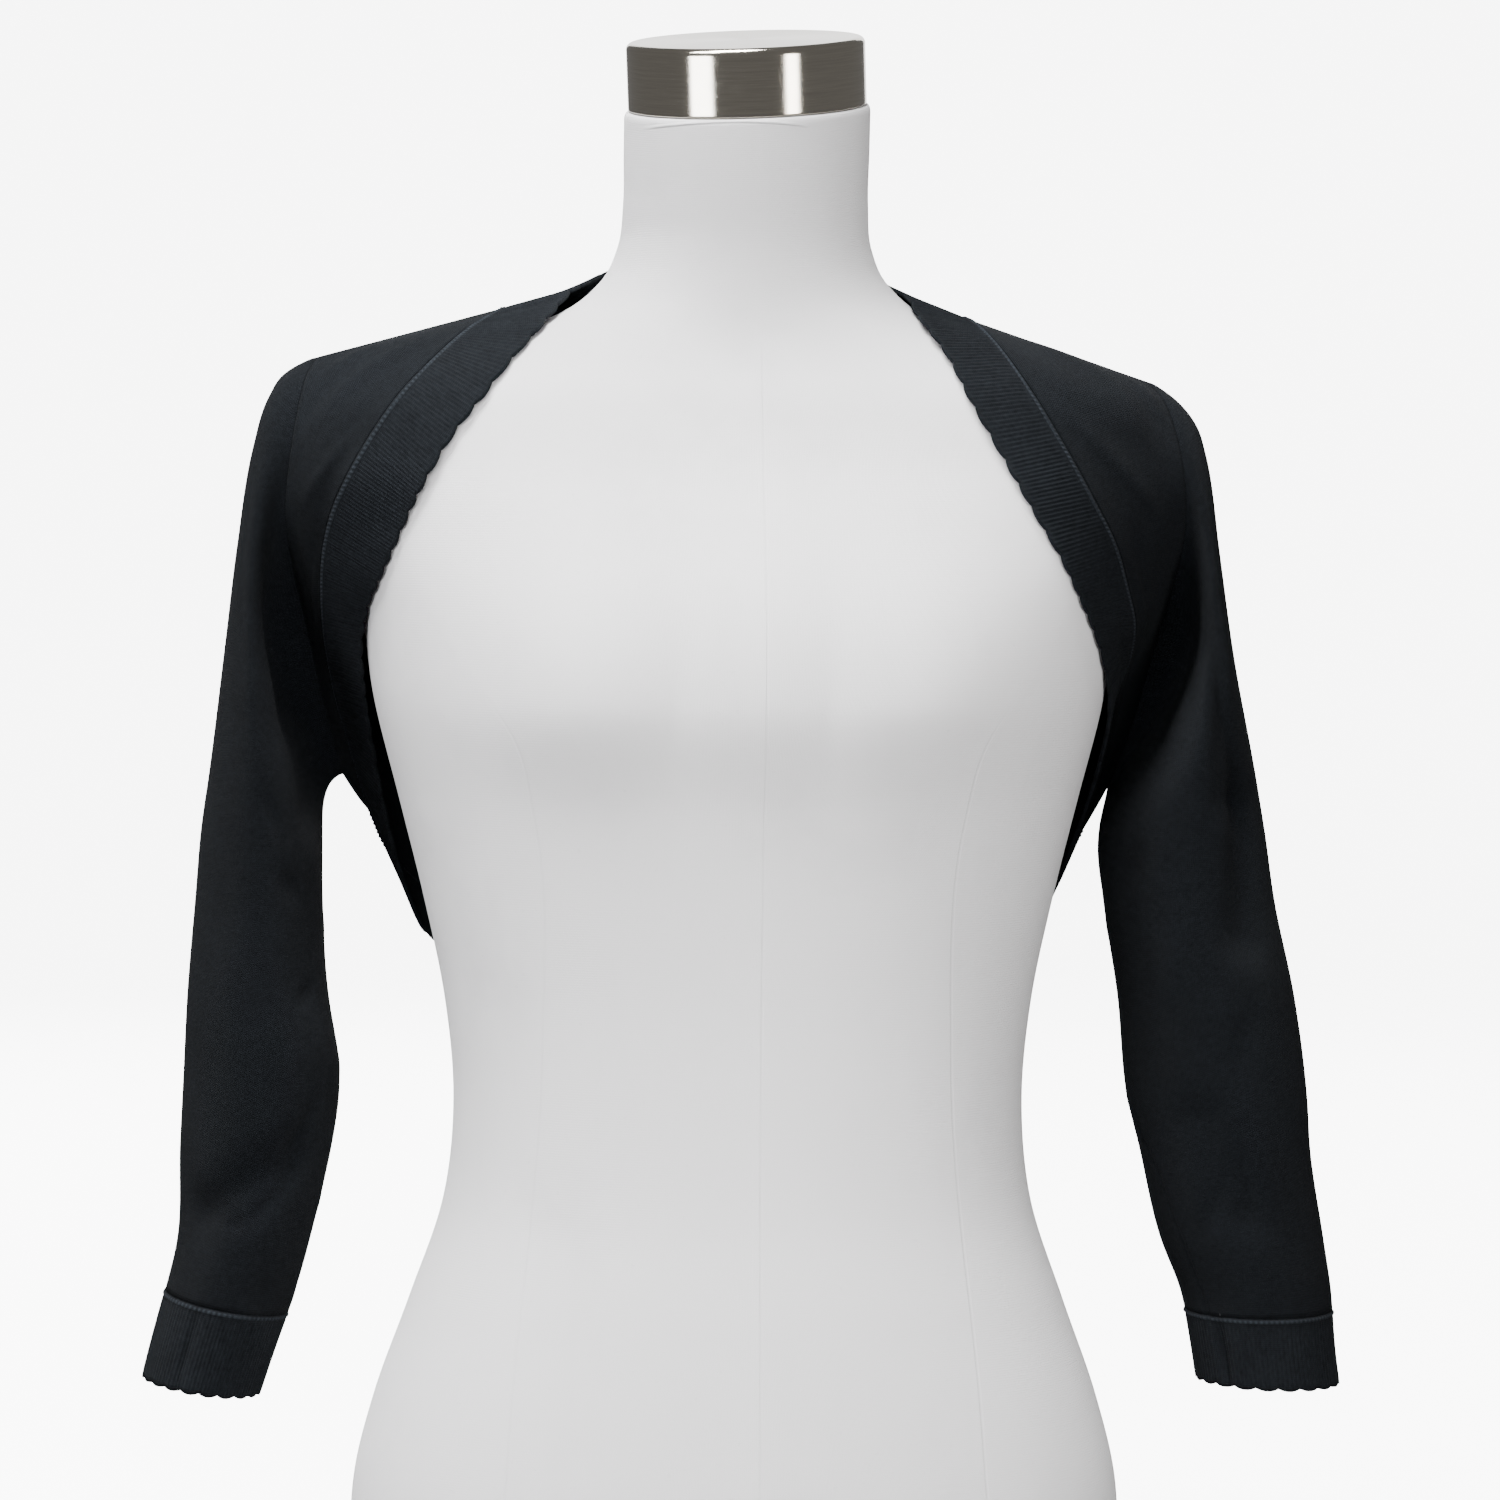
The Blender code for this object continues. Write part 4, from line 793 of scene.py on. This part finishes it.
def corners(rows, columns):
    """Row and column of the four corners of every cell of a grid."""
    r, c = np.meshgrid(np.arange(rows - 1), np.arange(columns - 1), indexing="ij")
    return (np.stack([r, r, r + 1, r + 1], -1).reshape(-1, 4),
            np.stack([c, c + 1, c + 1, c], -1).reshape(-1, 4))


def mean_run(grid, axis):
    """How far along an axis of a grid each of its rows or columns lies, by their mean lengths."""
    steps = np.linalg.norm(np.diff(grid, axis=axis), axis=-1).mean(1 - axis)
    return np.concatenate([[0], np.cumsum(steps)])


def shell(name, outer, inner, closed=False, wales_across=False):
    """A mesh object from the two faces of a cloth, closed along its edges, with a UV map in metres.

    The outer rows, and then the inner rows in reverse, make one ring of rows. u runs along the rows
    and v across them, or the other way round where the wales of the knit run along the rows.
    """
    rows, columns = outer.shape[:2]
    unique = columns - 1 if closed else columns
    points = np.concatenate([outer, inner[::-1]])[:, :unique].reshape(-1, 3)
    i, k = corners(2 * rows + 1, columns)
    if not closed:
        j = np.arange(rows - 1)
        loop = np.stack([j, j + 1, 2 * rows - 2 - j, 2 * rows - 1 - j], -1)
        i = np.concatenate([i, loop, loop[:, ::-1]])
        k = np.concatenate([k, np.zeros_like(loop), np.full_like(loop, columns - 1)])
    i = i % (2 * rows)
    faces = i * unique + k % unique
    middle = (outer + inner) / 2
    uv = np.stack([mean_run(middle, 1)[k], mean_run(middle, 0)[np.minimum(i, 2 * rows - 1 - i)]], -1)
    a, b, _, d = np.moveaxis(points[faces[:(rows - 1) * (columns - 1)]], 1, 0)
    if np.sum(np.cross(b - a, d - a) * (outer - inner)[:-1, :-1].reshape(-1, 3)) < 0:
        faces, uv = faces[:, ::-1], uv[:, ::-1]
    return mesh_object(name, points, [faces], [uv[..., ::-1] if wales_across else uv])


def mesh_object(name, points, faces, uv):
    """A smooth-shaded mesh object from points in millimetres.

    faces and uv are lists of arrays, one of each for every number of corners that a face has.
    """
    order = np.concatenate([f.ravel() for f in faces])
    sizes = np.concatenate([np.full(len(f), f.shape[1]) for f in faces])
    mesh = bpy.data.meshes.new(name)
    mesh.vertices.add(len(points))
    mesh.vertices.foreach_set("co", (points * MM).astype(np.float32).ravel())
    mesh.loops.add(len(order))
    mesh.loops.foreach_set("vertex_index", order.astype(np.int32))
    mesh.polygons.add(len(sizes))
    mesh.polygons.foreach_set("loop_start", (np.cumsum(sizes) - sizes).astype(np.int32))
    layer = mesh.uv_layers.new(name="cloth")
    mesh.update(calc_edges=True)
    places = np.concatenate([u.reshape(-1, 2) for u in uv])
    layer.data.foreach_set("uv", (places * MM).astype(np.float32).ravel())
    mesh.validate()
    mesh.shade_smooth()
    piece = bpy.data.objects.new(name, mesh)
    bpy.context.scene.collection.objects.link(piece)
    return piece


def turned_surface(name, grid, girth):
    """A closed surface from rings, lowest first, with a fan at both ends. u is a share of the girth."""
    rows, count = grid.shape[:2]
    points = np.concatenate([grid.reshape(-1, 3), grid[[0, -1]].mean(1)])
    r, c = corners(rows, count + 1)
    rise = mean_run(grid, 0)
    faces, uv = [r * count + c % count], [np.stack([c / count * girth, rise[r]], -1)]
    k = np.arange(count)
    fans = []
    for row, way, reach in ((0, [1, 0], -FAN_REACH), (rows - 1, [0, 1], FAN_REACH)):
        ends = np.stack([k, k + 1], -1)[:, way]
        fans.append(np.column_stack([row * count + ends % count, np.full(count, rows * count + len(fans))]))
        u = np.column_stack([ends, k + 0.5]) / count * girth
        uv.append(np.stack([u, np.broadcast_to(rise[row] + np.array([0, 0, reach]), u.shape)], -1))
    return mesh_object(name, points, faces + [np.concatenate(fans)], uv)


def note(piece, name, values):
    """Keep a length in metres at every point of the piece, for its material."""
    layer = piece.data.attributes.new(name, "FLOAT", "POINT")
    layer.data.foreach_set("value", (values * MM).astype(np.float32).ravel())


def covered_form():
    """The covered form: superellipse rings up the table of sections, with a flat base and a closed top.

    princess_seam is the distance from the seam at each side of the front and back, and below_cap
    the distance down from the cover's top edge.
    """
    sections = np.array(FORM_SECTIONS, float)
    top = sections[-1, 0]
    bend = np.concatenate([np.zeros(FORM_ROWS), np.linspace(0, np.pi / 2, COVER_EDGE["rows"])])
    z = np.linspace(0, top - COVER_EDGE["tall"], FORM_ROWS + 1)
    z = np.concatenate([z[:-1], z[-1] + COVER_EDGE["tall"] * np.sin(bend[FORM_ROWS:])])
    drawn_in = (1 - COVER_EDGE["inwards"] * (1 - np.cos(bend)))[:, None]
    half, front, back, middle, square = smooth_rows(FORM_SECTIONS, z).T[..., None]
    turn = np.linspace(0, 2 * np.pi, FORM_COLUMNS, endpoint=False)[None]
    across, deep = (np.sign(f) * np.abs(f) ** (2 / square) for f in (np.cos(turn), np.sin(turn)))
    x = half * across
    up = np.broadcast_to(z[:, None], x.shape)
    y = middle + np.where(deep < 0, front + middle + bust(x, up), back - middle) * deep
    x = x * drawn_in
    y = middle + (y - middle) * drawn_in
    share = np.clip((up - LEAN_FROM) / (top - LEAN_FROM), 0, 1)
    lean, tip = np.tan(np.radians([NECK_LEAN, NECK_TIP]))
    leaned = up + share * (lean * (y - sections[-1, 4]) + tip * x)
    side = np.stack([x, y, leaned], -1)
    low, high = side[:1], side[-1:]
    shares = np.array(FLAT_END_RINGS)[:, None, None]
    base = low.mean(axis=1, keepdims=True) * (1 - shares) + low * shares
    lid = high.mean(axis=1, keepdims=True) * (1 - shares[::-1]) + high * shares[::-1]
    piece = turned_surface("covered_form", np.concatenate([base, side, lid]), FORM_GIRTH)
    rings = len(FLAT_END_RINGS)
    heights = np.concatenate([np.zeros(rings), z, np.full(rings, top)])
    seam_out = smooth_rows(PRINCESS_SEAM, heights)[:, :1]
    points = np.concatenate([base[..., 0], x, lid[..., 0]])
    ends = np.zeros(2)
    note(piece, "princess_seam", np.concatenate([(np.abs(points) - seam_out).ravel(), ends]))
    below = np.broadcast_to(top - heights[:, None], points.shape)
    note(piece, "below_cap", np.concatenate([below.ravel(), ends]))
    return piece


def turned_cap():
    """The metal cap: its outline, with a rounded top edge, carried round an axis tipped as the neck is."""
    bend = np.radians(np.linspace(0, 90, CAP_BEND_ROWS))
    radius = np.concatenate([
        np.array(FLAT_END_RINGS) * CAP_RADIUS, [CAP_RADIUS - CAP_BEVEL, CAP_RADIUS],
        np.full(CAP_SIDE[2], CAP_RADIUS), CAP_RADIUS - CAP_ROUNDING * (1 - np.cos(bend)),
        np.array(FLAT_END_RINGS[::-1]) * (CAP_RADIUS - CAP_ROUNDING)])
    height = np.concatenate([
        np.zeros(len(FLAT_END_RINGS) + 1), [CAP_BEVEL],
        np.linspace(*CAP_SIDE),
        CAP_HEIGHT - CAP_ROUNDING * (1 - np.sin(bend)), np.full(len(FLAT_END_RINGS), CAP_HEIGHT)])
    turn = np.linspace(0, 2 * np.pi, CAP_STEPS, endpoint=False)
    lean, tip = np.radians([NECK_LEAN, NECK_TIP])
    x = radius[:, None] * np.cos(turn)
    tall = np.broadcast_to(height[:, None] + CAP_GAP, x.shape)
    upright = np.stack([x, radius[:, None] * np.sin(turn), tall], -1)
    tipped = np.array(Matrix.Rotation(-tip, 3, "Y") @ Matrix.Rotation(lean, 3, "X"))
    top = FORM_SECTIONS[-1]
    grid = upright @ tipped.T + (0, top[4], top[0])
    piece = turned_surface("brushed_neck_cap", grid, 2 * np.pi * CAP_RADIUS)
    note(piece, "up_cap", np.concatenate([tall.ravel(), [0, CAP_HEIGHT]]))
    return piece


class Formula:
    """A value in a material's tree, which the usual signs join with numbers and other values."""

    def __init__(self, look, socket):
        self.look, self.socket = look, socket

    def __add__(self, other):
        return self.look.math("ADD", self, other)

    def __sub__(self, other):
        return self.look.math("SUBTRACT", self, other)

    def __rsub__(self, other):
        return self.look.math("SUBTRACT", other, self)

    def __mul__(self, other):
        return self.look.math("MULTIPLY", self, other)

    def __truediv__(self, other):
        return self.look.math("DIVIDE", self, other)

    def __abs__(self):
        return self.look.math("ABSOLUTE", self)


class Look:
    """A Principled material, with its even values on the shader's own sockets and its pattern as formulas."""

    def __init__(self, name, colour, **even):
        self.material = bpy.data.materials.new(name)
        self.material.use_nodes = True
        self.tree = self.material.node_tree
        self.shader = self.tree.nodes["Principled BSDF"]
        self.shader.inputs["Base Color"].default_value = (*colour, 1)
        self.finish(**{"Sheen_Weight": 0.0, "Specular_IOR_Level": 0.5, **even})

    def put(self, socket, value):
        """Link a formula to a socket, or set a plain value on it."""
        if isinstance(value, Formula):
            self.tree.links.new(value.socket, socket)
        else:
            socket.default_value = value

    def build(self, kind, **settings):
        """A node. Names that are the node's own settings are set, and the others are its sockets."""
        node = self.tree.nodes.new("ShaderNode" + kind)
        own = {name for name in settings if hasattr(node, name)}
        for name in own:
            setattr(node, name, settings[name])
        for name in settings.keys() - own:
            self.put(node.inputs[name.replace("_", " ")], settings[name])
        return node

    def node(self, kind, result, **settings):
        """A node's outcome."""
        return Formula(self, self.build(kind, **settings).outputs[result])

    def numbered(self, node, values):
        """The node with values on its sockets by their numbers."""
        for number, value in values.items():
            self.put(node.inputs[number], value)
        return node

    def math(self, operation, *values):
        """One arithmetic step."""
        node = self.numbered(self.build("Math", operation=operation), dict(enumerate(values)))
        return Formula(self, node.outputs[0])

    def parts(self, kind, value):
        """The parts of a place or a colour."""
        node = self.numbered(self.build(kind), {0: value})
        return [Formula(self, part) for part in node.outputs]

    def spread(self, value, low, high, start=0.0, end=1.0):
        """The value's range from low to high, made a smooth range from start to end."""
        return self.node("MapRange", "Result", interpolation_type="SMOOTHSTEP", Value=value, From_Min=low,
                         From_Max=high, To_Min=start, To_Max=end)

    def noise(self, where, scale, detail=2.0, roughness=0.5):
        """Soft noise with that many cells in a metre."""
        return self.node("TexNoise", "Fac", Vector=where, Scale=scale, Detail=detail, Roughness=roughness)

    def stretched(self, where, scale):
        """A place with its axes scaled."""
        return self.node("Mapping", "Vector", Vector=where, Scale=scale)

    def shades(self, share, *stops):
        """A colour from a ramp of two (place, colour)."""
        node = self.numbered(self.build("ValToRGB"), {0: share})
        for element, (place, colour) in zip(node.color_ramp.elements, stops):
            element.position, element.color = place, (*colour, 1)
        return Formula(self, node.outputs["Color"])

    def blend(self, share, under, over):
        """One colour under another, by its share."""
        node = self.build("Mix", data_type="RGBA")
        return Formula(self, self.numbered(node, {0: share, 6: under, 7: (*over, 1)}).outputs[2])

    def relief(self, height, distance, strength=1.0, **under):
        """The surface roughened by a height of that many metres."""
        return self.node("Bump", "Normal", Height=height, Distance=distance, Strength=strength, **under)

    def noted(self, name):
        """A length kept at the points of the piece."""
        return self.node("Attribute", "Fac", attribute_name=name)

    def finish(self, **sockets):
        """Put values and formulas on the shader."""
        for name, value in sockets.items():
            self.put(self.shader.inputs[name.replace("_", " ")], value)
        return self.material

    def object_place(self):
        """The place in the object."""
        return self.node("TexCoord", "Object")

    def cloth_place(self):
        """The cloth's own map, with the two lengths apart."""
        place = self.node("UVMap", "UV", uv_map="cloth")
        return place, *self.parts("SeparateXYZ", place)[:2]

    def jersey(self, u, v, wale, course):
        """Plain knit: a wale is two slanting cords, sines across it, waved by a cosine for every course."""
        across = abs(self.math("FRACT", u / wale) - 0.5)
        cord = self.math("SINE", across * (2 * np.pi))
        wave = self.math("COSINE", (v / course + across * WALE_SLANT) * (2 * np.pi))
        return cord * (wave * COURSE_WAVE + (1 - COURSE_WAVE))


def knitted(name, wale, course, dark, light, lint, depth, chain=False):
    """Dyed knit: stitches, a slubby yarn, fuzz, uneven dye, a little pale lint and a painted highlight on the
    linking chain by the seam.
    """
    look = Look(name, light, Roughness=0.93, Sheen_Weight=0.012, Specular_IOR_Level=0.05)
    place, u, v = look.cloth_place()
    body = look.object_place()
    stitch = look.jersey(u, v, wale, course)
    slub = look.noise(look.stretched(place, SLUB["axes"]), *SLUB["noise"])
    fuzz = look.noise(body, *FUZZ["noise"])
    uneven, mottle = (look.noise(body, *layer["noise"]) for layer in (UNEVEN, MOTTLE))
    height = stitch * STITCH["height"] + fuzz * FUZZ["height"] + slub * SLUB["height"]
    tone = (stitch * STITCH["tone"] + uneven * UNEVEN["tone"] + (slub - 0.5) * SLUB["tone"]
            + (mottle - 0.5) * MOTTLE["tone"])
    cloth = look.shades(tone, (DARK_STOP, dark), (LIGHT_STOP, light))
    # Painted highlight: a paler dashed line along the crest of the raised linking chain, one bright spot for
    # each stitch
    if chain:
        links = look.math("COSINE", u * (2 * np.pi / CHAIN_HIGHLIGHT["stitch"])) * CHAIN_HIGHLIGHT["swing"] + CHAIN_HIGHLIGHT["mean"]
        beside = look.spread(abs(v - CHAIN_HIGHLIGHT["at"]), CHAIN_HIGHLIGHT["half"], CHAIN_HIGHLIGHT["core"])
        cloth = look.blend(beside * links, cloth, tuple(CHAIN_HIGHLIGHT["highlight_gain"] * c for c in light))
    speck = look.build("TexVoronoi", Scale=LINT["scale"], Vector=look.stretched(body, LINT["axes"]))
    rank = look.parts("SeparateColor", Formula(look, speck.outputs["Color"]))[0]
    there = (look.math("LESS_THAN", Formula(look, speck.outputs["Distance"]), LINT["size"])
             * look.math("GREATER_THAN", rank, LINT["rarity"]))
    return look.finish(Base_Color=look.blend(there, cloth, lint), Normal=look.relief(height, depth),
                       Roughness=look.spread(stitch, 0, 1, *STITCH["rough"]))


def stretched_cover():
    """White jersey pulled over the form: fine wales, thin seams, a hem under the cap and faint marks."""
    look = Look("white_cover", COVER["colour"], Roughness=0.88, Sheen_Weight=0.1, Specular_IOR_Level=0.25)
    _, u, v = look.cloth_place()
    body = look.object_place()
    x, y, z = look.parts("SeparateXYZ", body)
    grain = look.jersey(u, v, COVER["wale"], COVER["course"])
    pill = look.noise(body, *PILL["noise"])

    def line(distance, half):
        """1 on a seam and 0 beyond its half width."""
        return look.spread(abs(distance), half, LINE_CORE * half)

    princess = look.noted("princess_seam")
    centre = x - CENTRE_SEAM * MM
    seams = look.math("MAXIMUM", line(princess, COVER_SEAM["side"]) * look.spread(z, *COVER_SEAM["side_up"]),
                      line(centre, COVER_SEAM["centre"]) * look.spread(z, *COVER_SEAM["centre_up"]))
    puff = line(princess, COVER_SEAM["side_puff"]) + line(centre, COVER_SEAM["centre_puff"])
    aside = x + HEM_FOLD["off_centre"]
    fold_at = aside * aside * HEM_FOLD["bow"] + HEM_FOLD["below"]
    in_front = (look.spread(abs(aside), HEM_FOLD["reach"], HEM_FOLD["full"])
                * look.math("LESS_THAN", y, HEM_FOLD["front_of"]))
    hem = line(look.noted("below_cap") - fold_at, HEM_FOLD["half"]) * in_front
    smudge = look.spread(look.noise(body, *SMUDGE["noise"]), *SMUDGE["range"])
    streak = look.spread(look.noise(look.stretched(body, STREAK["axes"]), *STREAK["noise"]), *STREAK["range"])
    speck = look.spread(look.noise(body, *SPECK["noise"]), *SPECK["range"])
    tone = (seams * COVER_SEAM["tone"] + smudge * SMUDGE["tone"] + streak * STREAK["tone"]
            + (1.0 - grain) * COVER["grain"] + speck * SPECK["tone"])
    cloth = look.relief(pill * PILL["height"] + grain, *COVER["relief"])
    sewn = (puff * COVER_SEAM["puff"] - seams) * COVER_SEAM["height"] + hem
    return look.finish(Base_Color=look.shades(tone, (0.0, COVER["clean"]), (1.0, COVER["soiled"])),
                       Roughness=look.spread(pill, *PILL["range"], *PILL["rough"]),
                       Normal=look.relief(sewn, *COVER_SEAM["relief"], Normal=cloth))


def brushed_metal():
    """Warm grey metal with fine lines brushed round it, uneven shine, faint rubs and a darker lower edge."""
    look = Look("brushed_cap", CAP_COLOUR, Roughness=0.3, Metallic=1.0, Anisotropic=BRUSHED["anisotropy"],
                Anisotropic_Rotation=BRUSHED["turn"])
    place = look.node("UVMap", "UV", uv_map="cloth")
    lines = look.noise(look.stretched(place, BRUSHED["line_axes"]), *BRUSHED["lines"])
    wide = look.noise(look.stretched(place, BRUSHED["band_axes"]), *BRUSHED["bands"])
    rubs = look.spread(look.noise(look.object_place(), *RUBS["noise"]), *RUBS["range"])
    edge = look.spread(look.noted("up_cap"), *BRUSHED["edge_up"])
    tone = lines * BRUSHED["tone"] + wide * BRUSHED["tone"] - edge * BRUSHED["edge_tone"]
    stops = [(place, tuple(share * c for c in CAP_COLOUR)) for place, share in BRUSHED["shades"]]
    shine = rubs * RUBS["rough"] + look.spread(lines, *BRUSHED["line_range"], *BRUSHED["rough"])
    return look.finish(Base_Color=look.shades(tone, *stops), Roughness=shine,
                       Normal=look.relief(lines, *BRUSHED["relief"]),
                       Tangent=look.node("Tangent", "Tangent", direction_type="UV_MAP", uv_map="cloth"))


def plain_backdrop():
    """A white floor and wall with a faint even glow, as a lit studio sweep."""
    look = Look("pale_backdrop", BACKDROP_COLOUR, Roughness=0.9, Specular_IOR_Level=0.1)
    return look.finish(Emission_Color=(1, 1, 1, 1), Emission_Strength=BACKDROP_GLOW)


black_knit = knitted("black_knit", **KNIT)
black_rib = knitted("black_rib", **RIB_KNIT, chain=True)
white_cover = stretched_cover()
brushed_cap = brushed_metal()

lines = {side: body_side(side) for side in ("right", "left")}
panels = {"back": back_panel(lines)}
for side in ("right", "left"):
    panels["front_" + side] = front_panel(lines[side], side)
    panels["band_" + side] = band_panel(lines[side], side)
    panels["sleeve_" + side] = sleeve_panel(side, lines[side])
    panels["cuff_" + side] = cuff_panel(side)
sew(panels, lines)

shrug = {"knit_back": ("back_panel", "knit", shell("knit_back", *panels["back"].walls()))}
for side in ("right", "left"):
    front, band, sleeve, cuff = (panels[part + side] for part in ("front_", "band_", "sleeve_", "cuff_"))
    name = "knit_front_" + side
    shrug[name] = ("front_" + side, "knit", shell(name, *front.walls(), wales_across=True))
    name = "knit_sleeve_" + side
    shrug[name] = ("sleeve_" + side, "knit", shell(name, *sleeve.walls(), closed=True))
    relief = knitted_relief(band, BAND_ROWS, sum(BAND_SCALLOPS.values()), BAND_FINE, RIBS["band"])
    name = "ribbed_band_" + side
    shrug[name] = ("band_" + side, "rib", shell(name, *worked(band, relief)))
    relief = knitted_relief(cuff, CUFF_ROWS, CUFF_SCALLOPS, CUFF_FINE, RIBS["cuff"])
    name = "ribbed_cuff_" + side
    shrug[name] = ("cuff_" + side, "rib", shell(name, *worked(cuff, relief), closed=True))


def placed(piece, node, material):
    """Give a piece its material, and put it in its node's place."""
    piece.data.materials.append(material)
    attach(piece, "root")
    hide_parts(node)


for node, slot, piece in shrug.values():
    placed(piece, node, black_rib if slot == "rib" else black_knit)
placed(covered_form(), "form_body", white_cover)
placed(turned_cap(), "neck_cap", brushed_cap)


def area_light(name, place, target, size, power, colour, reflected):
    """A soft light with a width and a height, at a place, turned to a target."""
    lamp = bpy.data.lights.new(name, "AREA")
    lamp.shape = "RECTANGLE"
    lamp.size, lamp.size_y = size
    lamp.energy = power
    lamp.color = colour
    holder = bpy.data.objects.new(name, lamp)
    holder.location = place
    holder.visible_camera = False
    holder.visible_glossy = reflected
    holder.rotation_euler = (Vector(target) - Vector(place)).to_track_quat("-Z", "Y").to_euler()
    bpy.context.scene.collection.objects.link(holder)


world = bpy.data.worlds.new("studio")
world.use_nodes = True
world.node_tree.nodes["Background"].inputs["Color"].default_value = (*WORLD_COLOUR, 1)
world.node_tree.nodes["Background"].inputs["Strength"].default_value = WORLD_STRENGTH
bpy.context.scene.world = world
for name, values in LIGHTS.items():
    area_light(name, *values)


def backdrop():
    """A round pale floor that rises to a wall along a quarter circle, seen from inside on every side."""
    bend = np.radians(np.linspace(0, 90, BEND_STEPS))
    reach = np.concatenate([FLOOR_RINGS, FLOOR_RADIUS - FLOOR_BEND * (1 - np.sin(bend)), [FLOOR_RADIUS]])
    height = np.concatenate([[0, 0], FLOOR_BEND * (1 - np.cos(bend)), [WALL_HEIGHT]])
    turn = np.linspace(0, 2 * np.pi, FLOOR_STEPS, endpoint=False)
    x, y = reach[:, None] * np.cos(turn), reach[:, None] * np.sin(turn)
    grid = np.stack([x, y, np.broadcast_to(height[:, None], x.shape)], -1) / MM
    r, c = corners(len(reach), FLOOR_STEPS + 1)
    quads = (r * FLOOR_STEPS + c % FLOOR_STEPS)[:, ::-1]
    k = np.arange(FLOOR_STEPS)
    hub = np.stack([k, (k + 1) % FLOOR_STEPS, np.full(FLOOR_STEPS, grid[..., 0].size)], -1)
    points = np.concatenate([grid.reshape(-1, 3), np.zeros((1, 3))])
    return mesh_object("backdrop", points, [quads, hub], [np.zeros((*f.shape, 2)) for f in (quads, hub)])


floor = backdrop()
floor.data.materials.append(plain_backdrop())
floor.visible_diffuse = False
floor.visible_glossy = False

camera = bpy.data.cameras.new("camera")
camera.sensor_width = SENSOR
camera.lens = SENSOR * CAMERA_DISTANCE / VIEW_WIDTH
holder = bpy.data.objects.new("camera", camera)
bpy.context.scene.collection.objects.link(holder)
turn = np.radians(CAMERA_AZIMUTH)
target = np.array(CAMERA_TARGET)
place = np.array([target[0] + CAMERA_DISTANCE * np.sin(turn), -CAMERA_DISTANCE * np.cos(turn), CAMERA_HEIGHT])
back_way = unit(place - target)
right_way = unit(np.cross([0, 0, 1], back_way))
up_way = np.cross(back_way, right_way)
roll = np.radians(CAMERA_ROLL)
rolled = (right_way * np.cos(roll) + up_way * np.sin(roll), up_way * np.cos(roll) - right_way * np.sin(roll))
holder.matrix_world = Matrix(np.column_stack([*rolled, back_way, place]).tolist()).to_4x4()
bpy.context.scene.camera = holder
